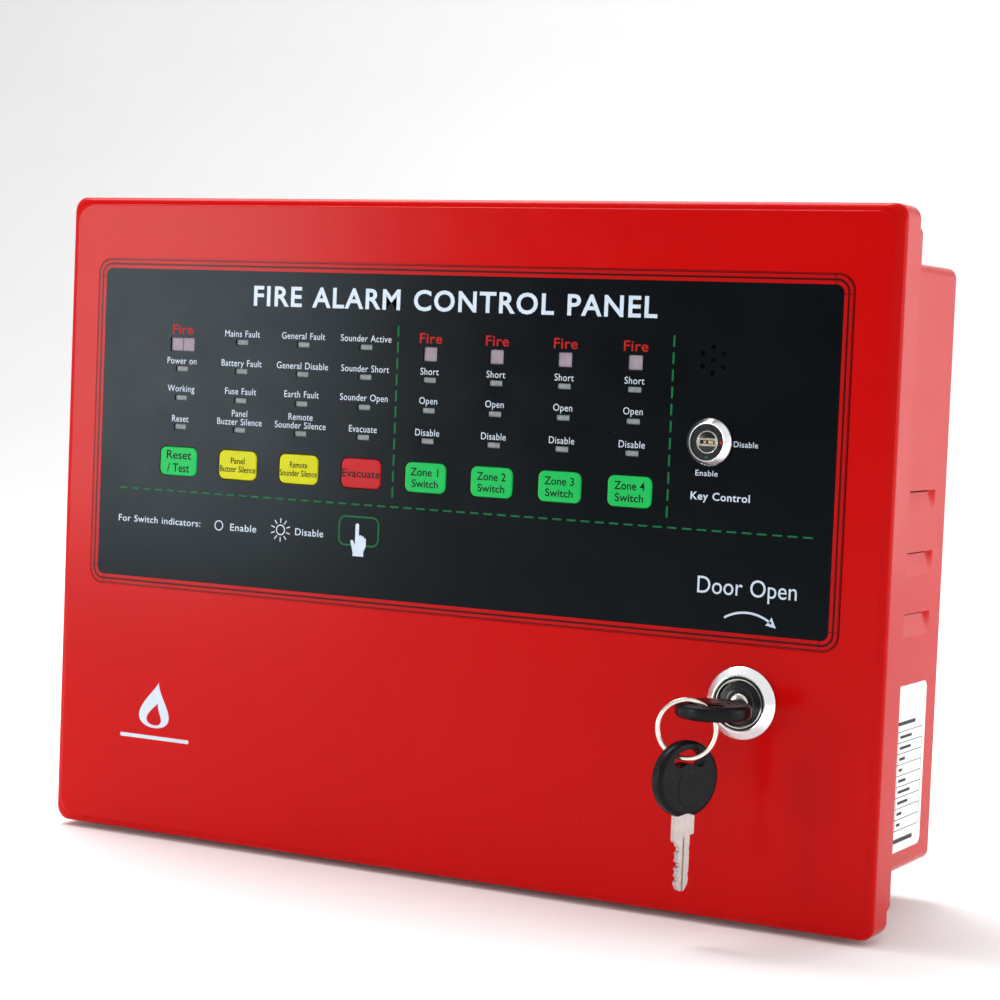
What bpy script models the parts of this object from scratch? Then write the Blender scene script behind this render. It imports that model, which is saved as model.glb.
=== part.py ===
"""Wall-mounted fire alarm control panel: a moulded back box, a hinged door with a key-pad
fascia, a cam lock with its keys, and the boards, transformer and batteries inside.

Frame: origin at the middle of the box's rear face, which rests on the wall. +X is to the
viewer's right, -Y is out of the wall towards the viewer, +Z is up. Sizes here are in
millimetres; the mesh helpers turn them into metres.
"""

import bmesh
import bpy
from math import cos, pi, radians, sin, sqrt
from mathutils import Matrix, Vector

MM = 0.001
GAP = 0.3                 # clearance between touching pieces

# ---- Driving dimensions, mm -------------------------------------------------------------
DEPTH = 98.0              # wall to door face
DOOR_W, DOOR_H = 358.0, 257.0
DOOR_Z = 2.5              # the door's centre above the box's centre
DOOR_THICK = 16.0
DOOR_R = 5.0
DOOR_WALL = 2.5
BOX_W, BOX_H = 331.0, 226.0
BOX_WALL = 2.5
BOX_R = 4.0
BACK_WALL = 3.0
FLANGE_THICK = 6.7
FLANGE_LEFT, FLANGE_RIGHT = -172.0, 177.5
FLANGE_LOW, FLANGE_HIGH = -120.0, 125.0

FACE_Y = -DEPTH                              # front of the door
DOOR_BACK_Y = FACE_Y + DOOR_THICK            # rear edge of the door
DOOR_INNER_Y = FACE_Y + DOOR_WALL            # inner side of the door's front wall
FLANGE_Y = DOOR_BACK_Y + GAP                 # front of the flange
FLANGE_BACK_Y = FLANGE_Y + FLANGE_THICK
FLOOR_Y = -BACK_WALL                         # inner side of the box's back wall
INNER_X = BOX_W / 2 - BOX_WALL
INNER_Z = BOX_H / 2 - BOX_WALL

# Hinge, on the left edge
HINGE_X, HINGE_Y = -175.5, -78.5
KNUCKLE_R, KNUCKLE_BORE_R, HINGE_PIN_R = 3.0, 1.55, 1.25
KNUCKLE_L = 14.0
HINGE_ZS = (82.0, -96.0)

# Fascia, measured from the door's centre
FASCIA_LEFT, FASCIA_RIGHT = -164.0, 161.8
FASCIA_LOW, FASCIA_HIGH = -28.3, 103.6
FASCIA_R = 6.0
FASCIA_THICK = 0.4
RECESS_DEPTH = 0.5
COLUMN_PITCH = 28.65
FIRST_COLUMN_X = -121.6
COLUMNS = 8
PAD_W, PAD_H, PAD_Z, PAD_R = 17.9, 11.4, 23.2, 2.6
PAD_TRAVEL = 0.5
PAD_NAMES = ("button_reset", "button_panel_buzzer", "button_sounder_silence", "button_evacuate",
             "button_zone_1", "button_zone_2", "button_zone_3", "button_zone_4")
WINDOW_LOW, WINDOW_HIGH = 34.0, 75.0
WIDE_WINDOW_LOW, WIDE_WINDOW_HIGH = 66.8, 73.2     # the first column's double-wide window
BUZZER_X, BUZZER_Z, BUZZER_HOLE_R, BUZZER_RING_R = 109.7, 72.0, 0.9, 4.6

# Locks, measured from the door's centre
KEY_SWITCH_X, KEY_SWITCH_Z = 109.9, 42.8
LOCK_X, LOCK_Z = 126.6, -49.3
CAM_Y, CAM_LENGTH, CAM_THICK = -73.7, 33.0, 2.0

# Keys
BOW_R, BOW_THICK = 13.4, 5.4
BOW_OUT = 25.0            # bow centre in front of the door face
HOLE_R, HOLE_HALF = 8.0, 2.5
HOLE_ANGLE = 34.0
KEY_THICK = 2.0
RING_R, RING_WIRE, RING_WIDTH = 10.2, 1.6, 3.0
RING_AZIMUTH = 15.0       # turn of the ring's plane from the door's plane, degrees
RING_LEFT, RING_OUT, RING_DROP = 5.3, 9.7, 8.8   # ring centre from the bow's centre and top
SPARE_AZIMUTH = 64.0      # turn of the spare key's plane
SPARE_RISE = 2.7          # how far the ring's curve lifts the spare key's rim

# Boards
BOARD_FRONT_Y, BOARD_THICK = -88.0, 1.6
BOARD_LEFT, BOARD_RIGHT, BOARD_LOW, BOARD_HIGH = -150.0, 128.0, 10.0, 98.0
PSU_Y, PSU_LEFT, PSU_RIGHT, PSU_LOW, PSU_HIGH = -12.0, -20.0, 125.0, -22.0, 88.0

UP, OUT, RIGHT = Vector((0, 0, 1)), Vector((0, -1, 0)), Vector((1, 0, 0))


# ---- Materials ---------------------------------------------------------------------------

def make_material(name, colour, roughness, metallic=0.0):
    """A Principled BSDF material with a plain colour."""
    material = bpy.data.materials.new(name)
    material.use_nodes = True
    shader = material.node_tree.nodes["Principled BSDF"]
    shader.inputs["Base Color"].default_value = (*colour, 1.0)
    shader.inputs["Roughness"].default_value = roughness
    shader.inputs["Metallic"].default_value = metallic
    material.diffuse_color = (*colour, 1.0)
    return material


def make_materials():
    """Every material of the panel, by its short name."""
    return {
        "red_abs": make_material("red_abs", (0.60, 0.004, 0.004), 0.22),
        "fascia": make_material("fascia", (0.012, 0.012, 0.014), 0.3),
        "pad_green": make_material("pad_green", (0.02, 0.55, 0.12), 0.35),
        "pad_yellow": make_material("pad_yellow", (0.75, 0.75, 0.02), 0.35),
        "pad_red": make_material("pad_red", (0.65, 0.03, 0.04), 0.35),
        "chrome": make_material("chrome", (0.80, 0.81, 0.83), 0.08, 1.0),
        "steel": make_material("steel", (0.56, 0.57, 0.58), 0.32, 1.0),
        "brass": make_material("brass", (0.72, 0.55, 0.25), 0.28, 1.0),
        "copper": make_material("copper", (0.55, 0.25, 0.10), 0.4, 1.0),
        "black": make_material("black", (0.015, 0.015, 0.017), 0.4),
        "battery": make_material("battery", (0.05, 0.05, 0.055), 0.5),
        "board": make_material("board", (0.01, 0.16, 0.06), 0.4),
        "terminal": make_material("terminal", (0.03, 0.20, 0.50), 0.4),
        "relay": make_material("relay", (0.03, 0.10, 0.32), 0.35),
        "rubber": make_material("rubber", (0.02, 0.02, 0.02), 0.8),
        "label": make_material("label", (0.85, 0.85, 0.85), 0.4),
        "glass": make_material("glass", (0.80, 0.84, 0.84), 0.05),
        "aluminium": make_material("aluminium", (0.60, 0.61, 0.62), 0.35, 1.0),
    }


# ---- Outlines and meshes ------------------------------------------------------------------

def arc_points(centre, radius, start, end, steps):
    """Points on an arc in a plane, as (u, v) pairs, both ends included; angles in degrees."""
    angles = [radians(start + (end - start) * i / steps) for i in range(steps + 1)]
    return [(centre[0] + radius * cos(a), centre[1] + radius * sin(a)) for a in angles]


def rounded_rect(left, right, low, high, radius, steps=4):
    """A rectangle with round corners, as (u, v) pairs, anticlockwise from the low right."""
    corners = ((right, low, -90), (right, high, 0), (left, high, 90), (left, low, 180))
    points = []
    for corner_u, corner_v, start in corners:
        u = corner_u - radius if corner_u == right else corner_u + radius
        v = corner_v + radius if corner_v == low else corner_v - radius
        points += arc_points((u, v), radius, start, start + 90, steps)
    return points


def circle(centre, radius, sides):
    """A regular polygon's corners, as (u, v) pairs."""
    return arc_points(centre, radius, 0, 360 * (sides - 1) / sides, sides - 1)


def stack(outlines, axis="Y"):
    """A closed bmesh through outlines of equal length, each an (outline, height) pair."""
    mesh = bmesh.new()
    rings = []
    for outline, height in outlines:
        if axis == "Y":
            ring = [mesh.verts.new((u, height, v)) for u, v in outline]
        elif axis == "X":
            ring = [mesh.verts.new((height, u, v)) for u, v in outline]
        else:
            ring = [mesh.verts.new((u, v, height)) for u, v in outline]
        rings.append(ring)
    for first, second in zip(rings, rings[1:]):
        for i, corner in enumerate(first):
            following = (i + 1) % len(first)
            mesh.faces.new((corner, first[following], second[following], second[i]))
    mesh.faces.new(rings[0])
    mesh.faces.new(rings[-1])
    return mesh


def turned(profile, sides, closed=False):
    """A bmesh turned about Z from (radius, height) points; a closed profile makes a ring."""
    mesh = bmesh.new()
    rings = []
    for radius, height in profile:
        rings.append([mesh.verts.new((u, v, height)) for u, v in circle((0, 0), radius, sides)])
    pairs = list(zip(rings, rings[1:]))
    if closed:
        pairs.append((rings[-1], rings[0]))
    for first, second in pairs:
        for i, corner in enumerate(first):
            following = (i + 1) % sides
            mesh.faces.new((corner, first[following], second[following], second[i]))
    if not closed:
        mesh.faces.new(rings[0])
        mesh.faces.new(rings[-1])
    return mesh


def facing(direction, centre):
    """The matrix that puts local Z along a direction, with the local origin at a centre."""
    turn = Vector(direction).to_track_quat("Z", "Y").to_matrix().to_4x4()
    return Matrix.Translation(Vector(centre)) @ turn


# ---- Objects ------------------------------------------------------------------------------

def make_object(name, mesh_builder, material=None, parent=None, origin=(0, 0, 0), matrix=None):
    """An object from a bmesh in millimetres, with its origin at a world point."""
    if matrix is not None:
        mesh_builder.transform(matrix)
    mesh_builder.transform(Matrix.Scale(MM, 4) @ Matrix.Translation(-Vector(origin)))
    bmesh.ops.recalc_face_normals(mesh_builder, faces=mesh_builder.faces)
    mesh = bpy.data.meshes.new(name)
    mesh_builder.to_mesh(mesh)
    mesh_builder.free()
    mesh.shade_smooth()
    mesh.set_sharp_from_angle(angle=radians(35))
    thing = bpy.data.objects.new(name, mesh)
    bpy.context.scene.collection.objects.link(thing)
    thing.location = Vector(origin) * MM
    if material is not None:
        mesh.materials.append(material)
    if parent is not None:
        attach(thing, parent)
    return thing


def world_place(thing):
    """Where an unturned object's origin is in the world, through its parents."""
    place = Vector(thing.location)
    while thing.parent is not None:
        thing = thing.parent
        place += thing.location
    return place


def attach(thing, parent):
    """Parent an object without moving it."""
    thing.location = Vector(thing.location) - world_place(parent)
    thing.parent = parent


def make_pivot(name, place, parent=None):
    """An empty on a joint's axis, which carries a moving piece."""
    pivot = bpy.data.objects.new(name, None)
    bpy.context.scene.collection.objects.link(pivot)
    pivot.location = Vector(place) * MM
    pivot.empty_display_size = 0.01
    if parent is not None:
        attach(pivot, parent)
    return pivot


def combine(thing, mesh_builder, operation, matrix=None):
    """Add or take away a hidden shape with an exact Boolean."""
    tool = make_object("tool_" + thing.name, mesh_builder, matrix=matrix)
    tool.hide_render = True
    tool.display_type = "WIRE"
    boolean = thing.modifiers.new(operation.lower(), "BOOLEAN")
    boolean.operation = operation
    boolean.solver = "EXACT"
    boolean.object = tool


def cut(thing, mesh_builder, matrix=None):
    combine(thing, mesh_builder, "DIFFERENCE", matrix)


def fuse(thing, mesh_builder, matrix=None):
    combine(thing, mesh_builder, "UNION", matrix)


def block(left, right, front, back, low, high):
    """A plain box."""
    outline = [(right, low), (right, high), (left, high), (left, low)]
    return stack([(outline, front), (outline, back)])


def soft_block(left, right, front, back, low, high, radius=1.0, chamfer=0.6):
    """A box with round vertical corners and a chamfered front edge."""
    full = rounded_rect(left, right, low, high, radius, 3)
    inner = rounded_rect(left + chamfer, right - chamfer, low + chamfer, high - chamfer,
                         radius, 3)
    return stack([(inner, front), (full, front + chamfer), (full, back)])


def rod(x, z, radius, front, back, sides=16):
    """A round bar along Y."""
    outline = circle((x, z), radius, sides)
    return stack([(outline, front), (outline, back)])


def door_xz(x, z):
    """A place on the door, from its centre, in the panel's X and Z."""
    return x, z + DOOR_Z


# ---- Back box -----------------------------------------------------------------------------

LOUVRE_ZS = (29.5, 6.7, -16.0)
LOUVRE_FRONT_Y, LOUVRE_BACK_Y, LOUVRE_DROP, LOUVRE_DEEP = -63.0, -12.0, 5.4, 2.0
LOUVRE_SLOT = 1.5
FIXING_X, FIXING_TOP_Z, FIXING_LOW_Z = 140.0, 90.0, -38.0
FIXING_HEAD_R, FIXING_SLOT_R, FIXING_RISE = 4.75, 2.4, 9.0
ENTRY_XS, ENTRY_Y, ENTRY_R = (-75.0, 75.0), -38.0, 9.0
KNOCKOUT_XS, KNOCKOUT_DEEP = (-25.0, 25.0), 0.8
PSU_BOSSES = [(x, z) for x in (PSU_LEFT + 6, PSU_RIGHT - 6) for z in (PSU_LOW + 6, PSU_HIGH - 6)]
LABEL_Y, LABEL_W, LABEL_Z, LABEL_H = -37.4, 49.2, -73.5, 62.0


def make_back_box(mats):
    """The moulded tray: back wall, four side walls and the flange behind the door."""
    inside = rounded_rect(-INNER_X, INNER_X, -INNER_Z, INNER_Z, BOX_R - 1.5)
    flange = rounded_rect(FLANGE_LEFT, FLANGE_RIGHT, FLANGE_LOW, FLANGE_HIGH, BOX_R)
    outside = rounded_rect(-BOX_W / 2, BOX_W / 2, -BOX_H / 2, BOX_H / 2, BOX_R)
    rear_bevel = 1.2
    rear = rounded_rect(-BOX_W / 2 + rear_bevel, BOX_W / 2 - rear_bevel,
                        -BOX_H / 2 + rear_bevel, BOX_H / 2 - rear_bevel, BOX_R - rear_bevel / 2)
    shell = stack([(inside, FLOOR_Y), (inside, FLANGE_Y), (flange, FLANGE_Y),
                   (flange, FLANGE_BACK_Y), (outside, FLANGE_BACK_Y),
                   (outside, -rear_bevel), (rear, 0.0)])
    box = make_object("back_box", shell, mats["red_abs"])
    for z in LOUVRE_ZS:
        for side in (-1, 1):
            cut_louvre(box, side, z)
    for x in (-FIXING_X, FIXING_X):
        for z in (FIXING_TOP_Z, FIXING_LOW_Z):
            cut(box, keyhole(x, z))
    for x in ENTRY_XS:
        cut_top(box, x, ENTRY_R, INNER_Z - 2)
    for x in KNOCKOUT_XS:
        cut_top(box, x, ENTRY_R, BOX_H / 2 - KNOCKOUT_DEEP)
    for x, z in PSU_BOSSES:
        fuse(box, rod(x, z, 3.5, PSU_Y + GAP, FLOOR_Y + 1, 12))
    for z in HINGE_ZS:
        add_box_knuckle(box, z)
    return box


def cut_louvre(box, side, z):
    """A scooped vent in a side wall: deep under its top edge, running out downwards."""
    face = side * BOX_W / 2
    deep = face - side * LOUVRE_DEEP
    past = face + side * 1.0
    scoop = [(deep, z), (face, z - LOUVRE_DROP), (past, z - LOUVRE_DROP), (past, z)]
    cut(box, stack([(scoop, LOUVRE_FRONT_Y), (scoop, LOUVRE_BACK_Y)]))
    inner = face - side * (BOX_WALL + 1.5)
    left, right = sorted((inner, past))
    cut(box, block(left, right, LOUVRE_FRONT_Y + 2, LOUVRE_BACK_Y - 2, z - 0.3 - LOUVRE_SLOT, z - 0.3))


def keyhole(x, z):
    """A hanging hole through the back wall: a round head hole under a narrow slot."""
    half = degrees_between(FIXING_SLOT_R, FIXING_HEAD_R)
    head = arc_points((x, z), FIXING_HEAD_R, 90 + half, 450 - half, 14)
    slot = arc_points((x, z + FIXING_RISE), FIXING_SLOT_R, 0, 180, 6)
    outline = head + slot
    return stack([(outline, FLOOR_Y - 1), (outline, 1.0)])


def degrees_between(opposite, hypotenuse):
    """The angle in degrees whose sine is a ratio of two lengths."""
    return Vector((0, 1)).angle(Vector((opposite, sqrt(hypotenuse ** 2 - opposite ** 2)))) * 180 / pi


def cut_top(box, x, radius, low):
    """A round hole or recess in the top wall, down to a height."""
    outline = circle((x, ENTRY_Y), radius, 24)
    cut(box, stack([(outline, low), (outline, BOX_H / 2 + 1)], axis="Z"))


def add_box_knuckle(box, z):
    """One bored hinge knuckle with the web that joins it to the flange."""
    barrel = circle((HINGE_X, HINGE_Y), KNUCKLE_R, 12)
    fuse(box, stack([(barrel, z), (barrel, z + KNUCKLE_L)], axis="Z"))
    web = [(HINGE_X, HINGE_Y - 2), (HINGE_X, HINGE_Y + 2), (FLANGE_LEFT + 1, HINGE_Y + 2),
           (FLANGE_LEFT + 1, HINGE_Y - 2)]
    fuse(box, stack([(web, z), (web, z + KNUCKLE_L)], axis="Z"))
    bore = circle((HINGE_X, HINGE_Y), KNUCKLE_BORE_R, 12)
    cut(box, stack([(bore, z - 1), (bore, z + KNUCKLE_L + 1)], axis="Z"))


def make_hinge_pins(mats):
    """A steel pin through each pair of knuckles."""
    for name, z in zip(("hinge_pin_top", "hinge_pin_bottom"), HINGE_ZS):
        shaft = circle((HINGE_X, HINGE_Y), HINGE_PIN_R, 12)
        head = circle((HINGE_X, HINGE_Y), HINGE_PIN_R * 1.7, 12)
        low, top = z - 0.6, z + 2 * KNUCKLE_L + GAP
        pin = stack([(shaft, low), (shaft, top + GAP), (head, top + GAP), (head, top + 1.3)],
                    axis="Z")
        make_object(name, pin, mats["steel"])


def make_cable_grommets(mats):
    """Rubber grommets in the two open cable entries of the top wall."""
    wall_low, wall_high = INNER_Z, BOX_H / 2
    groove, flange, bore = ENTRY_R - GAP, ENTRY_R + 2.5, 4.5
    profile = [(bore, wall_low - 2.2), (flange, wall_low - 2.2), (flange, wall_low - GAP),
               (groove, wall_low - GAP), (groove, wall_high + GAP), (flange, wall_high + GAP),
               (flange - 0.8, wall_high + 2.2), (bore, wall_high + 2.2)]
    for name, x in zip(("cable_grommet_left", "cable_grommet_right"), ENTRY_XS):
        make_object(name, turned(profile, 16, closed=True), mats["rubber"],
                    matrix=Matrix.Translation((x, ENTRY_Y, 0)))


def make_side_label(mats):
    """The blank-backed rating label on the right side wall."""
    outline = rounded_rect(LABEL_Y - LABEL_W / 2, LABEL_Y + LABEL_W / 2,
                           LABEL_Z - LABEL_H / 2, LABEL_Z + LABEL_H / 2, 3.0, 4)
    face = BOX_W / 2
    make_object("side_label", stack([(outline, face + 0.1), (outline, face + 0.35)], axis="X"),
                mats["label"])


# ---- Power side, in the back box ----------------------------------------------------------

BATTERY_W, BATTERY_D, BATTERY_H = 97.0, 43.0, 52.0
BATTERY_LOW = -INNER_Z + GAP
BATTERY_LEFTS = (-150.0, -46.0)
CORE_LEFT, CORE_RIGHT, CORE_LOW, CORE_HIGH = 84.0, 144.0, -104.0, -56.0
CORE_FRONT_Y, CORE_BACK_Y = -38.0, -14.0


def make_batteries(mats):
    """Two sealed batteries side by side on the bottom wall, with blade terminals."""
    back = FLOOR_Y - GAP
    for name, left in zip(("battery_left", "battery_right"), BATTERY_LEFTS):
        high = BATTERY_LOW + BATTERY_H
        case = soft_block(left, left + BATTERY_W, back - BATTERY_D, back, BATTERY_LOW, high,
                          1.5, 1.2)
        battery = make_object(name, case, mats["battery"])
        for x in (left + 10, left + BATTERY_W - 10):
            fuse(battery, block(x - 2.4, x + 2.4, back - 14, back - 13.2, high - 1, high + 6))


def make_battery_strap(mats):
    """A folded steel strap over both batteries, with feet on the back wall."""
    left, right = BATTERY_LEFTS[0], BATTERY_LEFTS[1] + BATTERY_W
    front = FLOOR_Y - GAP - BATTERY_D - GAP
    foot, thick = 9.0, 1.2
    outline = [(left - GAP - foot, FLOOR_Y - GAP), (left - GAP - foot, FLOOR_Y - GAP - thick),
               (left - GAP - thick, FLOOR_Y - GAP - thick), (left - GAP - thick, front - thick),
               (right + GAP + thick, front - thick), (right + GAP + thick, FLOOR_Y - GAP - thick),
               (right + GAP + foot, FLOOR_Y - GAP - thick), (right + GAP + foot, FLOOR_Y - GAP),
               (right + GAP, FLOOR_Y - GAP), (right + GAP, front), (left - GAP, front),
               (left - GAP, FLOOR_Y - GAP)]
    low = BATTERY_LOW + 18
    make_object("battery_strap", stack([(outline, low), (outline, low + 14)], axis="Z"),
                mats["steel"])


def make_transformer(mats):
    """Laminated core with two windows, the coil on its middle limb, and a clamp bracket."""
    middle_x, middle_z = (CORE_LEFT + CORE_RIGHT) / 2, (CORE_LOW + CORE_HIGH) / 2
    limb, window_w, window_h = 9.0, 11.0, 28.0
    core = make_object("transformer_core", block(CORE_LEFT, CORE_RIGHT, CORE_FRONT_Y, CORE_BACK_Y,
                                                 CORE_LOW, CORE_HIGH), mats["steel"])
    for side in (-1, 1):
        left, right = sorted((middle_x + side * limb, middle_x + side * (limb + window_w)))
        cut(core, block(left, right, CORE_FRONT_Y - 1, CORE_BACK_Y + 1,
                        middle_z - window_h / 2, middle_z + window_h / 2))
    reach, grow = limb + window_w - GAP, 7.5
    inner_w = limb + GAP
    coil = make_object("transformer_coil", soft_block(middle_x - reach, middle_x + reach,
                       CORE_FRONT_Y - grow, CORE_BACK_Y + grow, middle_z - window_h / 2 + GAP,
                       middle_z + window_h / 2 - GAP, 2.0, 2.0), mats["copper"])
    cut(coil, block(middle_x - inner_w, middle_x + inner_w, CORE_FRONT_Y - GAP,
                    CORE_BACK_Y + GAP, CORE_LOW, CORE_HIGH))
    make_transformer_bracket(mats)


def make_transformer_bracket(mats):
    """A steel hoop round the core's top and bottom, with feet on the back wall."""
    thick, foot = 1.2, 8.0
    low, high, back = CORE_LOW - GAP, CORE_HIGH + GAP, FLOOR_Y - GAP
    front = CORE_BACK_Y - 16
    outline = [(back, low - foot + 4), (back - thick, low - foot + 4), (back - thick, low - thick),
               (front, low - thick), (front, low), (back, low)]
    upper = [(back, high + foot), (back - thick, high + foot), (back - thick, high + thick),
             (front, high + thick), (front, high), (back, high)]
    plate_z = (low, high)
    left, right = CORE_LEFT + 2, CORE_LEFT + 6
    bracket = make_object("transformer_bracket", stack([(outline, left), (outline, CORE_RIGHT - 2)],
                                                       axis="X"), mats["steel"])
    fuse(bracket, stack([(upper, left), (upper, CORE_RIGHT - 2)], axis="X"))
    for x in (left, CORE_RIGHT - 2 - (right - left)):
        fuse(bracket, block(x, x + right - left, CORE_BACK_Y + GAP, CORE_BACK_Y + GAP + thick,
                            plate_z[0] - thick / 2, plate_z[1] + thick / 2))


def make_power_supply(mats):
    """The power supply board on its four bosses, and what stands on it."""
    face = PSU_Y - BOARD_THICK
    board = make_object("psu_board", block(PSU_LEFT, PSU_RIGHT, face, PSU_Y, PSU_LOW, PSU_HIGH),
                        mats["board"])
    for x, z in PSU_BOSSES:
        cut(board, rod(x, z, 1.6, face - 1, PSU_Y + 1, 10))
    front = face - GAP
    make_terminal_row("mains_terminal_block", mats["black"], 40, 5, 9.5, front, -1, 13, 66, 82)
    holder = make_object("fuse_holder", soft_block(0, 30, front - 9, front, 64, 74, 1, 0.8),
                         mats["black"])
    cut(holder, block(3.5, 26.5, front - 10, front - 3, 65.6, 72.4))
    fuse_place = facing(RIGHT, (15, front - 6.4, 69))
    make_object("mains_fuse", turned([(2.2, -10.5), (2.6, -10.0), (2.6, -5.5), (2.3, -5.5),
                                      (2.3, 5.5), (2.6, 5.5), (2.6, 10.0), (2.2, 10.5)], 16),
                mats["glass"], matrix=fuse_place)
    sink = make_object("psu_heat_sink", block(64, 100, front - 24, front, 10, 22),
                       mats["aluminium"])
    for i in range(5):
        x = 67.5 + 6.5 * i
        cut(sink, block(x, x + 3.0, front - 25, front - 4, 9, 23))
    make_object("psu_capacitor", turned([(6.6, 0), (8.0, 0.8), (8.0, 24.2), (7.2, 25.0)], 24),
                mats["battery"], matrix=facing(OUT, (20, front, 10)))


def make_terminal_row(name, material, left, count, pitch, foot, way, deep, low, high, parent=None):
    """A row of screw terminals on a board; way is -1 or 1, the sense of Y it stands up in."""
    def slab(start, end, near, far, bottom, top):
        front, back = sorted((foot + way * near, foot + way * far))
        return block(start, end, front, back, bottom, top)

    row = make_object(name, slab(left, left + count * pitch, 0, deep, low, high), material, parent)
    hole = pitch * 0.3
    for i in range(count):
        x = left + (i + 0.5) * pitch
        cut(row, slab(x - hole, x + hole, 3, deep - 3.5, low - 1, low + 5))
        front, back = sorted((foot + way * (deep - 2.5), foot + way * (deep + 1)))
        cut(row, rod(x, (low + high) / 2 + 2, hole, front, back, 6))


def make_earth_stud(mats):
    """The earth screw with its nut, on the back wall."""
    place = facing(OUT, (150, FLOOR_Y - GAP, 0))
    profile = [(5.5, 0), (5.5, 1.2), (3.9, 1.2), (3.9, 4.4), (2.0, 4.4), (2.0, 12.0), (1.5, 12.6)]
    make_object("earth_stud", turned(profile, 12), mats["brass"], matrix=place)


def make_lock_strike(mats):
    """The folded steel strike that the lock's cam turns behind."""
    wall, thick, lip = INNER_X - GAP, 1.3, 10.5
    front, back = CAM_Y - GAP - 1.3, CAM_Y + 18
    outline = [(wall, front), (wall, back), (wall - thick, back), (wall - thick, front + thick),
               (wall - lip, front + thick), (wall - lip, front)]
    low, high = door_xz(0, LOCK_Z)[1] - 9, door_xz(0, LOCK_Z)[1] + 9
    make_object("lock_strike", stack([(outline, low), (outline, high)], axis="Z"), mats["steel"])


# ---- Door ---------------------------------------------------------------------------------

def door_outline(inset, radius):
    """The door's outline, drawn in by an inset."""
    return rounded_rect(-DOOR_W / 2 + inset, DOOR_W / 2 - inset, DOOR_Z - DOOR_H / 2 + inset,
                        DOOR_Z + DOOR_H / 2 - inset, radius)


def column_x(index):
    """The middle of a column of windows and its key pad."""
    return FIRST_COLUMN_X + COLUMN_PITCH * index


def fascia_outline(grow=0.0):
    """The fascia's outline, grown on every side."""
    return rounded_rect(FASCIA_LEFT - grow, FASCIA_RIGHT + grow, FASCIA_LOW + DOOR_Z - grow,
                        FASCIA_HIGH + DOOR_Z + grow, FASCIA_R + grow)


def pad_outline(index, grow=0.0):
    """A key pad's outline, grown on every side."""
    x, z = door_xz(column_x(index), PAD_Z)
    half_w, half_h = PAD_W / 2 + grow, PAD_H / 2 + grow
    return rounded_rect(x - half_w, x + half_w, z - half_h, z + half_h, PAD_R + grow, 3)


def make_door_shell(mats, door):
    """The door: a shallow moulded tray with a softly bevelled front edge."""
    inner = door_outline(DOOR_WALL, DOOR_R - 1.5)
    edge = door_outline(0, DOOR_R)
    shell = stack([(inner, DOOR_INNER_Y), (inner, DOOR_BACK_Y), (edge, DOOR_BACK_Y),
                   (edge, FACE_Y + 1.9), (door_outline(0.5, DOOR_R), FACE_Y + 1.0),
                   (door_outline(1.4, DOOR_R), FACE_Y + 0.45),
                   (door_outline(3.0, DOOR_R + 1.5), FACE_Y)])
    shell_object = make_object("door_shell", shell, mats["red_abs"], door)
    cut(shell_object, stack([(fascia_outline(GAP), FACE_Y - 1),
                             (fascia_outline(GAP), FACE_Y + RECESS_DEPTH)]))
    through = (FACE_Y - 2, DOOR_INNER_Y + 1)
    for i in range(COLUMNS):
        pad = pad_outline(i, GAP)
        cut(shell_object, stack([(pad, through[0]), (pad, through[1])]))
        x, low = door_xz(column_x(i), WINDOW_LOW)
        high = door_xz(0, WINDOW_HIGH)[1]
        cut(shell_object, block(x - 3.2, x + 3.2, through[0], through[1], low, high))
    cut(shell_object, wide_window(6.3, *through))
    for x, z, radius in ((BUZZER_X, BUZZER_Z, 5.8), (KEY_SWITCH_X, KEY_SWITCH_Z, 6.4),
                         (LOCK_X, LOCK_Z, 9.4)):
        cut(shell_object, rod(*door_xz(x, z), radius, through[0], through[1], 24))
    for x, z in board_screw_places():
        fuse(shell_object, rod(x, z, 3.2, DOOR_INNER_Y - 1, BOARD_FRONT_Y - GAP, 12))
    for z in HINGE_ZS:
        add_door_knuckle(shell_object, z + KNUCKLE_L + GAP)
    return shell_object


def wide_window(half_w, front, back):
    """The block that clears the double-wide window at the top of the first column."""
    x, low = door_xz(column_x(0), WIDE_WINDOW_LOW)
    return block(x - half_w, x + half_w, front, back, low, door_xz(0, WIDE_WINDOW_HIGH)[1])


def add_door_knuckle(shell, z):
    """One bored hinge knuckle with the web that joins it to the door's left wall."""
    barrel = circle((HINGE_X, HINGE_Y), KNUCKLE_R, 12)
    top = z + KNUCKLE_L
    fuse(shell, stack([(barrel, z), (barrel, top)], axis="Z"))
    left, right = -DOOR_W / 2 + 0.4, -DOOR_W / 2 + DOOR_WALL
    web = [(right, DOOR_BACK_Y - 1), (right, HINGE_Y), (left, HINGE_Y), (left, DOOR_BACK_Y - 1)]
    fuse(shell, stack([(web, z), (web, top)], axis="Z"))
    bore = circle((HINGE_X, HINGE_Y), KNUCKLE_BORE_R, 12)
    cut(shell, stack([(bore, z - 1), (bore, top + 1)], axis="Z"))


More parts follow.
